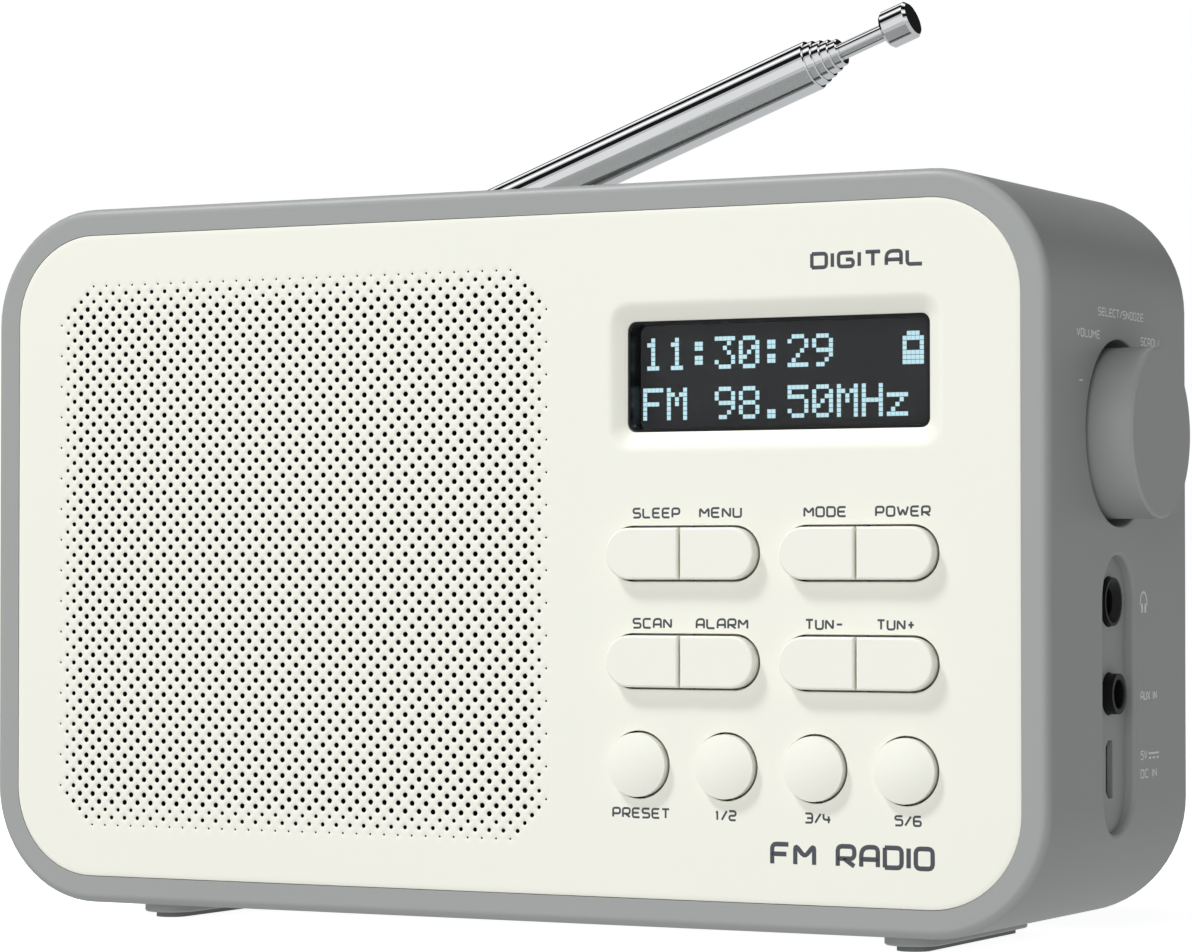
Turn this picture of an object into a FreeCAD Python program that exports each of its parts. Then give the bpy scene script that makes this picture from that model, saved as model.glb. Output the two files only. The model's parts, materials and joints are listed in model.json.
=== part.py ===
import FreeCAD, Part
import math
import os
import re
import Sketcher

# Tabletop radio: a moulded case with a perforated front panel, a speaker, a display,
# twelve push buttons, a push-and-turn knob and a telescopic antenna.
# Working axes: X to the right seen from the front, Y to the rear from the front face,
# Z up from the middle of the front face. FRAME moves them to the frame of the part,
# whose origin lies under the middle of the whole radio, on the surface it stands on.

DIMS = {
    # case
    "caseWidth": 160, "caseHeight": 97.5, "caseDepth": 51.5, "caseCorner": 16.2, "caseWall": 2.5,
    "frontRound": 1.25, "rearRound": 1.6, "bossAway": 9, "bossRise": 39.5, "bossRadius": 4.5,
    "bossFront": 30, "coverThick": 2.5, "coverGap": 0.1, "screwHole": 1.25,
    # front panel and the ledge it sits on
    "panelWidth": 152.48, "panelHeight": 90.1, "panelCorner": 12.45, "panelThick": 2.2,
    "panelGap": 0.06, "ledgeWidth": 4, "ledgeThick": 1.8,
    # feet
    "footAway": 57.08, "footMid": 25.2, "plinthWidth": 7.65, "plinthLength": 36.7, "plinthReach": 1.67,
    "plinthRound": 0.3, "padWidth": 4.5, "padLength": 33.5, "padReach": 0.74, "padSunk": 1.0,
    # display
    "displayMid": 41.94, "displayRise": 23.2, "displayWidth": 42.3, "displayTall": 13.86,
    "displayRound": 1.2, "rimWidth": 47.7, "rimTall": 19.95, "rimRound": 3.2, "rimDeep": 1.25,
    "windowGap": 0.05, "windowAt": 1.5, "windowThick": 1.0, "flangeOver": 2.2, "collarThick": 0.3,
    "lcdDeep": 4.4, "lcdThick": 2.8, "lcdOver": 1.6, "lightThick": 1.6,
    # split pill buttons and round buttons
    "pillMid": 29.18, "pillPitch": 25, "pillDrop": 14.05, "pillLength": 22, "pillTall": 7.3,
    "pillSplit": 0.3, "roundMid": 22.7, "roundPitch": 12.65, "roundDrop": 27.55, "roundSize": 8.9,
    "domeRadius": 15, "keyGap": 0.27, "keyReach": 1.5, "keyRound": 0.35, "keyFlange": 0.8,
    "keyLip": 0.9, "keyFlangeAt": 3.2, "keyStem": 1.6, "keyStemEnd": 4.9, "keyTravel": 0.8,
    # main board
    "boardLeft": 13, "boardRight": 69.5, "boardLow": -40, "boardTop": 38, "boardAt": 9.6,
    "boardThick": 1.6, "switchSize": 6, "switchTall": 3.2, "switchKnob": 1.7, "switchNub": 0.4,
    "postRadius": 2.2, "postHole": 0.9, "postInset": 3, "postScrew": 4, "studScrew": 1.2,
    # speaker
    "speakerMid": -30.03, "clothSize": 78, "clothTall": 77, "clothAt": 2.3, "clothThick": 0.4,
    "gasketThick": 1.2, "speakerRadius": 35, "coneRadius": 28.2, "throatRadius": 12.5,
    "throatStep": 2, "rimThick": 1.2,
    "speakerDeep": 17, "coneClear": 1, "metalThick": 0.9, "coneThick": 0.5, "magnetRadius": 22.5,
    "magnetThick": 9, "domeSize": 11, "speakerHole": 1.7, "speakerHoles": 32, "speakerPost": 2.5,
    "speakerStud": 2,
    # knob, encoder and the well in the right-hand wall
    "knobY": 25, "knobZ": 15.6, "knobRadius": 11.1, "knobReach": 5.8, "knobWall": 1.5, "knobEdge": 0.3,
    "knobHub": 4.8, "knobBack": 77.3, "hubBack": 79, "hollowDeep": 83.6, "wellRadius": 12.1,
    "wellFloor": 76.5, "wellBack": 74.4, "shaftRadius": 3, "shaftStart": 68.2, "shaftEnd": 82.6,
    "bushRadius": 3.5, "bushEnd": 77.9, "bushGap": 0.05, "nutAcross": 10, "nutThick": 1.4,
    "encoderSize": 12, "encoderBack": 65.6, "encoderFace": 72, "plungerRadius": 2.4,
    "plungerThick": 1.6, "cavityRadius": 3.6, "cavityDeep": 4.8, "cavityFloor": 0.4,
    # side groove, sockets and side board
    "grooveY": 24.8, "grooveZ": -18.25, "grooveLong": 36, "grooveWide": 11.8, "grooveDeep": 1.5,
    "grooveSoft": 0.6, "softReach": 1, "grooveBack": 76.4, "phonesZ": -6.25,
    "phonesRadius": 3.15, "phonesFace": 79.2,
    "auxZ": -18.2, "auxRadius": 2.65, "auxFace": 79.95, "plugHole": 1.865, "plugDeep": 14,
    "phonesBevel": 0.9, "auxBevel": 0.15, "jackLong": 10.6, "jackWide": 8, "jackTall": 7,
    "holeGap": 0.15, "usbZ": -28, "usbLong": 7.5, "usbWide": 2.5, "usbShell": 0.3, "usbDeep": 4.4,
    "usbFace": 77.6, "usbTongue": 0.65, "usbBevel": 0.85, "sideBoardAt": 64, "sideBoardThick": 1.6,
    "sideBoardFront": 12.4, "sideBoardRear": 43, "sideBoardLow": -34, "sideBoardTop": 27,
    # rebate for the folded antenna
    "rebateLeft": -54, "rebateRight": 56, "rebateFront": 42, "rebateFloor": 38.5, "rebateWall": 2,
    # antenna, measured along its axis from the pivot
    "pivotX": -43.8, "pivotY": 46.8, "pivotZ": 43.2, "antennaAngle": 20.2, "tubeStart": 5,
    "tubeEnd": 75, "tubeStep": 1.15, "tubeRadius": 3.6, "radiusStep": 0.4, "tubeWall": 0.35,
    "tubePlug": 3, "rootStep": 1.2, "tubeRound": 0.15, "rodRadius": 1.2, "rodSlip": 0.05,
    "rodCollar": 3, "rodEnd": 88.6, "tipStart": 86.8, "tipEnd": 91.1, "tipRadius": 2.7, "tipEdge": 0.4,
    "tabThick": 3, "tabRadius": 2.8, "pinRadius": 0.9, "pinSlip": 0.05, "pinHead": 1.4,
    "pinHeadThick": 0.4, "earGap": 0.1, "earThick": 1.8, "flangeAt": 4.7, "swivelFlange": 0.8,
    "swivelFlangeRadius": 4.3, "spindleRadius": 1.5, "spindleSlip": 0.05, "spindleEnd": 12.6,
    "bushOuter": 2.3, "bushCollar": 2.95, "bushCollarThick": 1.2, "bushInner": 37.2,
    "lockNutAcross": 4.8, "lockNutThick": 2, "lockNutAt": 10.2,
    # rear cover, battery bay and its door
    "bayWidth": 103, "bayTall": 31, "bayMid": -24, "bayFront": 32.5, "bayWall": 1.5, "doorGap": 0.3,
    "doorThick": 1.6, "doorHinge": 1.2, "doorHingeY": 50.1, "doorPin": 0.8, "doorPinLong": 1.1,
    "doorPinSlip": 0.05, "notchWidth": 14, "notchTall": 6, "notchDeep": 1.4, "cellRadius": 7.05,
    "cellLong": 49.2, "cellNub": 2.6, "cellNubLong": 1.1, "cellY": 41.3, "contactThick": 0.4,
    "contactGap": 0.05, "ventWidth": 30, "ventTall": 1.6, "ventPitch": 3.4, "ventCount": 6,
    "ventLow": 2.5, "screwRadius": 1.2, "screwHead": 2.6, "screwHeadThick": 1.4, "headSink": 1.8,
    "screwLong": 9,
    # receiver and ribbon
    "receiverLeft": 20, "receiverLow": -8, "receiverWidth": 30, "receiverTall": 26,
    "receiverThick": 3.4, "ribbonWide": 14, "ribbonThick": 0.4, "ribbonDeep": 9.2, "ribbonZ": -24,
    "ribbonX": 56,
}

doc = FreeCAD.newDocument("TabletopRadio")
Vec = FreeCAD.Vector
ABOUT = {"X": Vec(1, 0, 0), "Y": Vec(0, 1, 0), "Z": Vec(0, 0, 1)}
pieces = []


def makeSheet(dims):
    sheet = doc.addObject("Spreadsheet::Sheet", "Dims")
    for row, (alias, number) in enumerate(dims.items(), start=1):
        sheet.set(f"A{row}", alias)
        sheet.set(f"B{row}", str(number))
        sheet.setAlias(f"B{row}", alias)
    doc.recompute()
    return sheet


sheet = makeSheet(DIMS)


def cells(text):
    # every word of an expression but sqrt is an alias in the sheet
    return re.sub(r"\b(?!sqrt\b)[A-Za-z]\w*", lambda word: "Dims." + word.group(), str(text))


def value(text):
    return float(sheet.evalExpression(cells(text)))


FRAME = {
    "x": "-knobReach / 2",
    "y": "-(caseDepth - keyReach) / 2",
    "z": "caseHeight / 2 + plinthReach + padReach",
}


def bind(thing, **links):
    for name, text in links.items():
        thing.setExpression(name, cells(text))


def place(thing, x="0", y="0", z="0", about="Z", turn="0"):
    # places thing in the working axes, then moves it to the frame of the part
    for axis, text in zip("xyz", (x, y, z)):
        thing.setExpression(f".Placement.Base.{axis}", cells(f"({text}) + ({FRAME[axis]})"))
    thing.Placement.Rotation = FreeCAD.Rotation(ABOUT[about], value(turn))
    if turn != "0":
        thing.setExpression(".Placement.Rotation.Angle", cells(turn))


def piece(thing, label):
    thing.Label = label
    pieces.append(thing)
    return thing


# ---- sketches ------------------------------------------------------------------------


def newBody(label):
    body = doc.addObject("PartDesign::Body", label.title().replace("_", ""))
    place(body)
    return piece(body, label)


def newSketch(body, plane, away="0"):
    # away is measured along +Y, +X or +Z from the plane through the origin
    sketch = body.newObject("Sketcher::SketchObject", body.Name + "Sketch")
    origin = {feature.Role: feature for feature in body.Origin.OriginFeatures}
    sketch.AttachmentSupport = (origin[plane], [""])
    sketch.MapMode = "FlatFace"
    side = "-" if plane == "XZ_Plane" else ""
    sketch.setExpression(".AttachmentOffset.Base.z", cells(f"{side}({away})"))
    return sketch


def constrain(sketch, kind, where, text):
    index = sketch.addConstraint(Sketcher.Constraint(kind, *where, value(text)))
    sketch.setExpression(f"Constraints[{index}]", cells(text))


def pinPoint(sketch, geometry, point, x, y):
    constrain(sketch, "DistanceX", (-1, 1, geometry, point), x)
    constrain(sketch, "DistanceY", (-1, 1, geometry, point), y)


def circle(sketch, radius, x="0", y="0"):
    ring = sketch.addGeometry(Part.Circle(Vec(value(x), value(y), 0), Vec(0, 0, 1), value(radius)))
    constrain(sketch, "Radius", (ring,), radius)
    pinPoint(sketch, ring, 3, x, y)


def roundedRect(sketch, width, height, radius, x="0", y="0"):
    halfWidth, halfHeight, r = value(width) / 2, value(height) / 2, value(radius)
    arcs, ends = [], []
    for quarter, (right, up) in enumerate(((1, -1), (1, 1), (-1, 1), (-1, -1))):
        middle = Vec(value(x) + right * (halfWidth - r), value(y) + up * (halfHeight - r), 0)
        start = (quarter - 1) * math.pi / 2
        arc = Part.ArcOfCircle(Part.Circle(middle, Vec(0, 0, 1), r), start, start + math.pi / 2)
        arcs.append(sketch.addGeometry(arc))
        ends.append((arc.StartPoint, arc.EndPoint))
    for corner in range(4):
        following = (corner + 1) % 4
        line = sketch.addGeometry(Part.LineSegment(ends[corner][1], ends[following][0]))
        sketch.addConstraint(Sketcher.Constraint("Tangent", arcs[corner], 2, line, 1))
        sketch.addConstraint(Sketcher.Constraint("Tangent", line, 2, arcs[following], 1))
        sketch.addConstraint(Sketcher.Constraint("Horizontal" if corner % 2 else "Vertical", line))
        if corner:
            sketch.addConstraint(Sketcher.Constraint("Equal", arcs[0], arcs[corner]))
    constrain(sketch, "Radius", (arcs[0],), radius)
    constrain(sketch, "DistanceX", (arcs[3], 3, arcs[1], 3), f"({width}) - 2 * ({radius})")
    constrain(sketch, "DistanceY", (arcs[3], 3, arcs[1], 3), f"({height}) - 2 * ({radius})")
    pinPoint(sketch, arcs[3], 3, f"({x}) - ({width}) / 2 + ({radius})",
             f"({y}) - ({height}) / 2 + ({radius})")


def stadium(sketch, long, wide, x="0", y="0", upright=False):
    # a slot with fully rounded ends, along the first axis of the sketch or the second
    half, r = (value(long) - value(wide)) / 2, value(wide) / 2
    middle = Vec(value(x), value(y), 0)
    along = Vec(0, 1, 0) if upright else Vec(1, 0, 0)
    first = 0 if upright else -math.pi / 2
    arcs = []
    for sign, start in ((1, first), (-1, first + math.pi)):
        ring = Part.Circle(middle + along * half * sign, Vec(0, 0, 1), r)
        arcs.append(Part.ArcOfCircle(ring, start, start + math.pi))
    right, left = [sketch.addGeometry(arc) for arc in arcs]
    upper = sketch.addGeometry(Part.LineSegment(arcs[0].EndPoint, arcs[1].StartPoint))
    lower = sketch.addGeometry(Part.LineSegment(arcs[1].EndPoint, arcs[0].StartPoint))
    for one, other in ((right, upper), (upper, left), (left, lower), (lower, right)):
        sketch.addConstraint(Sketcher.Constraint("Tangent", one, 2, other, 1))
    sketch.addConstraint(Sketcher.Constraint("Vertical" if upright else "Horizontal", upper))
    constrain(sketch, "Radius", (right,), f"({wide}) / 2")
    reach = f"(({long}) - ({wide})) / 2"
    if upright:
        pinPoint(sketch, left, 3, x, f"({y}) - {reach}")
        constrain(sketch, "DistanceY", (left, 3, right, 3), f"({long}) - ({wide})")
    else:
        pinPoint(sketch, left, 3, f"({x}) - {reach}", y)
        constrain(sketch, "DistanceX", (left, 3, right, 3), f"({long}) - ({wide})")


def outline(sketch, points):
    # a closed run of straight lines through points given as pairs of expressions
    spots = [Vec(value(x), value(y), 0) for x, y in points]
    lines = [sketch.addGeometry(Part.LineSegment(spot, spots[(number + 1) % len(spots)]))
             for number, spot in enumerate(spots)]
    for number, line in enumerate(lines):
        sketch.addConstraint(Sketcher.Constraint("Coincident", line, 2, lines[(number + 1) % len(lines)], 1))
        pinPoint(sketch, line, 1, *points[number])


# ---- features ------------------------------------------------------------------------


def pad(sketch, length, back=False):
    # grows towards +X, +Y or +Z, or the other way with back
    body = sketch.getParentGeoFeatureGroup()
    feature = body.newObject("PartDesign::Pad", body.Name + "Pad")
    feature.Profile = sketch
    bind(feature, Length=length)
    feature.Reversed = (sketch.AttachmentSupport[0][0].Role == "XZ_Plane") != back
    return feature


def pocket(sketch, length, back=False):
    # cuts towards +X, +Y or +Z, or the other way with back
    body = sketch.getParentGeoFeatureGroup()
    feature = body.newObject("PartDesign::Pocket", body.Name + "Pocket")
    feature.Profile = sketch
    bind(feature, Length=length)
    feature.Reversed = (sketch.AttachmentSupport[0][0].Role != "XZ_Plane") != back
    return feature


def turned(sketch, axis):
    body = sketch.getParentGeoFeatureGroup()
    feature = body.newObject("PartDesign::Revolution", body.Name + "Revolution")
    feature.Profile = sketch
    feature.ReferenceAxis = (sketch, [axis])
    feature.Angle = 360
    return feature


def soften(feature, radius, chosen, kind="Fillet"):
    # rounds or bevels the edges of feature that chosen picks by their bounding box
    doc.recompute()
    names = [f"Edge{number}" for number, edge in enumerate(feature.Shape.Edges, start=1)
             if chosen(edge.BoundBox)]
    body = feature.getParentGeoFeatureGroup()
    dress = body.newObject(f"PartDesign::{kind}", body.Name + kind)
    dress.Base = (feature, names)
    bind(dress, **{"Radius" if kind == "Fillet" else "Size": radius})
    return dress


def flatAt(axis, text):
    # picks edges that lie in one plane
    level = value(text)

    def chosen(bound):
        low, high = getattr(bound, axis + "Min"), getattr(bound, axis + "Max")
        return abs(low - level) < 1e-4 and abs(high - level) < 1e-4
    return chosen


# ---- simple solids -------------------------------------------------------------------


def rod(name, radius, length, x="0", y="0", z="0", along="Z"):
    # a cylinder that starts at x, y, z and runs towards +X, +Y or +Z
    solid = doc.addObject("Part::Cylinder", name)
    bind(solid, Radius=radius, Height=length)
    about, turn = {"X": ("Y", "90"), "Y": ("X", "-90"), "Z": ("Z", "0")}[along]
    place(solid, x, y, z, about, turn)
    return solid


def block(name, width, depth, height, x, y, z):
    solid = doc.addObject("Part::Box", name)
    bind(solid, Length=width, Width=depth, Height=height)
    place(solid, x, y, z)
    return solid


def cone(name, radius, endRadius, length, x, y, z):
    # a cone that starts at x, y, z and runs towards +Y
    solid = doc.addObject("Part::Cone", name)
    bind(solid, Radius1=radius, Radius2=endRadius, Height=length)
    place(solid, x, y, z, "X", "-90")
    return solid


def hexagon(name, across, length, x, y, z, along):
    solid = doc.addObject("Part::Prism", name)
    solid.Polygon = 6
    bind(solid, Circumradius=f"({across}) / sqrt(3)", Height=length)
    about, turn = {"X": ("Y", "90"), "Y": ("X", "-90")}[along]
    place(solid, x, y, z, about, turn)
    return solid


def fuse(name, *solids):
    joined = doc.addObject("Part::MultiFuse", name)
    joined.Shapes = list(solids)
    return joined


def cut(name, base, *tools):
    less = doc.addObject("Part::Cut", name)
    less.Base = base
    less.Tool = tools[0] if len(tools) == 1 else fuse(name + "Tools", *tools)
    return less


def group(label, solids):
    # separate solids of one kind that share a node
    together = doc.addObject("Part::Compound", label.title().replace("_", ""))
    together.Links = list(solids)
    return piece(together, label)


# ---- case ----------------------------------------------------------------------------


def corners(away, rise):
    return [(f"{side}({away})", f"{level}({rise})") for side in ("-", "") for level in ("-", "")]


BOSSES = corners("caseWidth / 2 - bossAway", "bossRise")
INSIDE = ("caseWidth - 2 * caseWall", "caseHeight - 2 * caseWall", "caseCorner - caseWall")


def makeCaseShell():
    body = newBody("case_shell")
    outer = newSketch(body, "XZ_Plane")
    roundedRect(outer, "caseWidth", "caseHeight", "caseCorner")
    whole = pad(outer, "caseDepth")
    front = soften(whole, "frontRound", flatAt("Y", "0"))
    soften(front, "rearRound", flatAt("Y", "caseDepth"))

    seat = newSketch(body, "XZ_Plane")
    roundedRect(seat, "panelWidth", "panelHeight", "panelCorner")
    pocket(seat, "panelThick")
    mouth = newSketch(body, "XZ_Plane", "panelThick")
    roundedRect(mouth, "panelWidth - ledgeWidth", "panelHeight - ledgeWidth", "panelCorner - ledgeWidth / 2")
    pocket(mouth, "ledgeThick")
    hollow = newSketch(body, "XZ_Plane", "panelThick + ledgeThick")
    roundedRect(hollow, *INSIDE)
    pocket(hollow, "caseDepth")

    # screw bosses in the four corners, and the thicker wall behind the well and the groove
    bosses = newSketch(body, "XZ_Plane", "bossFront")
    for x, z in BOSSES:
        circle(bosses, "bossRadius", x, z)
    pad(bosses, "caseDepth - coverThick - bossFront")
    bossHoles = newSketch(body, "XZ_Plane", "bossFront + 2 * bossRadius")
    for x, z in BOSSES:
        circle(bossHoles, "screwHole", x, z)
    pocket(bossHoles, "caseDepth")
    thickening = newSketch(body, "YZ_Plane", "wellBack")
    circle(thickening, "wellRadius + caseWall", "knobY", "knobZ")
    pad(thickening, "caseWidth / 2 - caseWall / 2 - wellBack")
    thicker = newSketch(body, "YZ_Plane", "grooveBack")
    stadium(thicker, "grooveLong + caseWall", "grooveWide + caseWall", "grooveY", "grooveZ", upright=True)
    pad(thicker, "caseWidth / 2 - caseWall / 2 - grooveBack")

    # the rebate that the folded antenna lies in, open to the top and the rear
    walls = newSketch(body, "XZ_Plane", "rebateFront - rebateWall")
    left, right = "rebateLeft - rebateWall", "rebateRight + rebateWall"
    low, high = "rebateFloor - rebateWall", "caseHeight / 2 - caseWall / 2"
    outline(walls, ((left, low), (right, low), (right, high), (left, high)))
    pad(walls, "caseDepth - rearRound - rebateFront + rebateWall")
    rebate = newSketch(body, "XZ_Plane", "rebateFront")
    outline(rebate, (("rebateLeft", "rebateFloor"), ("rebateRight", "rebateFloor"),
                     ("rebateRight", "caseHeight"), ("rebateLeft", "caseHeight")))
    pocket(rebate, "caseDepth")
    spindle = newSketch(body, "XZ_Plane", "rebateFront - 2 * rebateWall")
    circle(spindle, "bushOuter", "pivotX", "pivotZ")
    pocket(spindle, "caseDepth / 2")

    # the well that the knob turns in, and the groove that holds the sockets
    well = newSketch(body, "YZ_Plane", "caseWidth / 2")
    circle(well, "wellRadius", "knobY", "knobZ")
    sunk = pocket(well, "caseWidth / 2 - wellFloor", back=True)
    soften(sunk, "knobEdge", ringAt("caseWidth / 2", "knobY", "knobZ", "wellRadius"))
    bushHole = newSketch(body, "YZ_Plane", "caseWidth / 2")
    circle(bushHole, "bushRadius + holeGap", "knobY", "knobZ")
    pocket(bushHole, "2 * knobReach", back=True)
    groove = newSketch(body, "YZ_Plane", "caseWidth / 2")
    stadium(groove, "grooveLong", "grooveWide", "grooveY", "grooveZ", upright=True)
    slot = pocket(groove, "grooveDeep", back=True)
    soften(slot, "grooveSoft", lambda bound: flatAt("X", "caseWidth / 2")(bound)
           and abs(bound.Center.y - value("grooveY")) < value("grooveWide")
           and bound.Center.z < value("grooveZ + grooveLong / 2 + softReach")
           and bound.Center.z > value("grooveZ - grooveLong / 2 - softReach"))
    sockets = newSketch(body, "YZ_Plane", "caseWidth / 2")
    circle(sockets, "phonesRadius + holeGap", "grooveY", "phonesZ")
    circle(sockets, "auxRadius + holeGap", "grooveY", "auxZ")
    usbMouth(sockets)
    pocket(sockets, "2 * knobReach", back=True)
    usbSeat = newSketch(body, "YZ_Plane", "usbFace + holeGap")
    roundedRect(usbSeat, *USB_SHELL)
    pocket(usbSeat, "2 * knobReach", back=True)

    # plinths that the rubber pads are let into
    plinths = newSketch(body, "XY_Plane", "-caseHeight / 2 + caseWall / 2")
    sunkPads = newSketch(body, "XY_Plane", "-caseHeight / 2 - plinthReach")
    for side in ("-", ""):
        stadium(plinths, "plinthLength", "plinthWidth", f"{side}footAway", "footMid", upright=True)
        stadium(sunkPads, "padLength", "padWidth", f"{side}footAway", "footMid", upright=True)
    raised = pad(plinths, "plinthReach + caseWall / 2", back=True)
    soften(raised, "plinthRound", flatAt("Z", "-caseHeight / 2 - plinthReach"))
    pocket(sunkPads, "padSunk")


def ringAt(level, y, z, radius):
    # picks the round edge of a hole in the right-hand wall
    def chosen(bound):
        return (flatAt("X", level)(bound) and abs(bound.Center.y - value(y)) < 0.01
                and abs(bound.Center.z - value(z)) < 0.01 and abs(bound.YLength - 2 * value(radius)) < 0.01)
    return chosen


def makeFoot(label, side):
    body = newBody(label)
    shape = newSketch(body, "XY_Plane", "-caseHeight / 2 - plinthReach - padReach")
    stadium(shape, "padLength", "padWidth", f"{side}footAway", "footMid", upright=True)
    pad(shape, "padReach + padSunk")


def displayRect(grow):
    # width, height, corner radius and place of a rectangle round the visible part of the display
    return (f"displayWidth + 2 * ({grow})", f"displayTall + 2 * ({grow})", f"displayRound + {grow}",
            "displayMid", "displayRise")


DISPLAY_OPENING = displayRect("collarThick + windowGap")


def makeFrontPanel():
    body = newBody("front_panel")
    plate = newSketch(body, "XZ_Plane")
    roundedRect(plate, "panelWidth - 2 * panelGap", "panelHeight - 2 * panelGap", "panelCorner - panelGap")
    pad(plate, "panelThick")
    # posts on the back that carry the main board and the speaker
    posts = newSketch(body, "XZ_Plane", "panelThick / 2")
    postHoles = newSketch(body, "XZ_Plane", "panelThick")
    for x, z in BOARD_SCREWS:
        circle(posts, "postRadius", x, z)
        circle(postHoles, "postHole", x, z)
    pad(posts, "boardAt - panelThick / 2")
    pocket(postHoles, "boardAt")
    studs = newSketch(body, "XZ_Plane", "panelThick / 2")
    for x, z in SPEAKER_SCREWS:
        circle(studs, "speakerStud", x, z)
    pad(studs, "clothAt + clothThick + gasketThick - panelThick / 2")
    studHoles = newSketch(body, "XZ_Plane", "panelThick")
    for x, z in SPEAKER_SCREWS:
        circle(studHoles, "postHole", x, z)
    pocket(studHoles, "boardAt")
    openings = newSketch(body, "XZ_Plane")
    for x, z in PILLS:
        stadium(openings, "pillLength", "pillTall", x, z)
    for x in ROUNDS:
        circle(openings, "roundSize / 2", x, "-roundDrop")
    roundedRect(openings, *DISPLAY_OPENING)
    pocket(openings, "panelThick")
    # the sloping rim round the display
    rim = body.newObject("PartDesign::SubtractiveLoft", "DisplayRim")
    outer = newSketch(body, "XZ_Plane")
    roundedRect(outer, "rimWidth", "rimTall", "rimRound", "displayMid", "displayRise")
    inner = newSketch(body, "XZ_Plane", "rimDeep")
    roundedRect(inner, *DISPLAY_OPENING)
    rim.Profile = outer
    rim.Sections = [inner]
    rim.Ruled = True


# ---- display -------------------------------------------------------------------------


def plateAt(label, at, thick, *rects):
    # a plate parallel to the front; a second rectangle is the hole in it
    body = newBody(label)
    plate = newSketch(body, "XZ_Plane", at)
    for rect in rects:
        roundedRect(plate, *rect)
    pad(plate, thick)
    return body


def makeDisplay():
    plateAt("display_window", "windowAt", "windowThick", displayRect("-windowGap"))
    # the black frame has a thin collar that lines the opening in the front panel
    black = plateAt("lcd_frame", "panelThick", "lcdDeep - panelThick", displayRect("flangeOver"),
                    displayRect("0"))
    collar = newSketch(black, "XZ_Plane", "rimDeep")
    roundedRect(collar, *displayRect("collarThick"))
    roundedRect(collar, *displayRect("0"))
    pad(collar, "panelThick - rimDeep + collarThick")
    plateAt("lcd_module", "lcdDeep", "lcdThick", displayRect("lcdOver"))
    plateAt("backlight", "lcdDeep + lcdThick", "lightThick", displayRect("lcdOver"))


# ---- buttons -------------------------------------------------------------------------

PILLS = [("pillMid", "0"), ("pillMid + pillPitch", "0"),
         ("pillMid", "-pillDrop"), ("pillMid + pillPitch", "-pillDrop")]
ROUNDS = [f"roundMid + {step} * roundPitch" for step in range(4)]
PILL_NAMES = [("sleep_button", "menu_button"), ("mode_button", "power_button"),
              ("scan_button", "alarm_button"), ("tune_down_button", "tune_up_button")]
ROUND_NAMES = ["preset_button", "preset_1_2_button", "preset_3_4_button", "preset_5_6_button"]
KEY_FACE = "-keyReach"


def makePillButton(label, x, z, right):
    # the left half of a pill; the right half is the same moulding turned over
    body = newBody(label)
    place(body, x, "0", z, "Y", "180" if right else "0")
    face = newSketch(body, "XZ_Plane", KEY_FACE)
    stadium(face, "pillLength - 2 * keyGap", "pillTall - 2 * keyGap")
    pad(face, "keyFlangeAt - (-keyReach) + keyFlange / 2")
    flange = newSketch(body, "XZ_Plane", "keyFlangeAt")
    stadium(flange, "pillLength + 2 * keyLip", "pillTall + 2 * keyLip")
    pad(flange, "keyFlange")
    stem = newSketch(body, "XZ_Plane", "keyFlangeAt")
    circle(stem, "keyStem", "-pillLength / 4", "0")
    pad(stem, "keyStemEnd - keyFlangeAt")
    half = newSketch(body, "XZ_Plane", KEY_FACE)
    outline(half, (("-pillSplit / 2", "-pillTall"), ("pillLength", "-pillTall"),
                   ("pillLength", "pillTall"), ("-pillSplit / 2", "pillTall")))
    halved = pocket(half, "keyReach + boardAt")
    soften(halved, "keyRound", flatAt("Y", KEY_FACE))


def makeRoundButton(label, x):
    z = "-roundDrop"
    radius = "roundSize / 2 - keyGap"
    post = rod(label + "Post", radius, "keyFlangeAt + keyReach + keyFlange / 2", x, KEY_FACE, z, "Y")
    ball = doc.addObject("Part::Sphere", label + "Ball")
    bind(ball, Radius="domeRadius")
    place(ball, x, "domeRadius - keyReach", z)
    dome = doc.addObject("Part::Common", label + "Dome")
    dome.Base, dome.Tool = post, ball
    flange = rod(label + "Flange", "roundSize / 2 + keyLip", "keyFlange", x, "keyFlangeAt", z, "Y")
    stem = rod(label + "Stem", "keyStem", "keyStemEnd - keyFlangeAt", x, "keyFlangeAt", z, "Y")
    piece(fuse(label + "Key", dome, flange, stem), label)


def makeButtons():
    for (x, z), names in zip(PILLS, PILL_NAMES):
        for label, right in zip(names, (False, True)):
            makePillButton(label, x, z, right)
    for x, label in zip(ROUNDS, ROUND_NAMES):
        makeRoundButton(label, x)


# ---- boards --------------------------------------------------------------------------

BOARD_SCREWS = [(x, z) for x in ("boardLeft + postInset", "boardRight - postInset")
                for z in ("boardLow + postInset", "boardTop - postInset")]
SWITCHES = ([(f"{x} {side} pillLength / 4", z) for x, z in PILLS for side in "-+"]
            + [(x, "-roundDrop") for x in ROUNDS])


def panScrew(name, radius, length, x, y, z):
    # head towards the rear at y, shank towards the front
    head = rod(name + "Head", "screwHead", "screwHeadThick", x, y, z, "Y")
    shank = rod(name + "Shank", radius, length, x, f"({y}) - ({length})", z, "Y")
    slot = block(name + "Slot", "2 * screwHead", "screwHeadThick", "screwRadius / 2",
                 f"({x}) - screwHead", f"({y}) + screwHeadThick * 2 / 3", f"({z}) - screwRadius / 4")
    return cut(name, fuse(name + "Solid", head, shank), slot)


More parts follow.
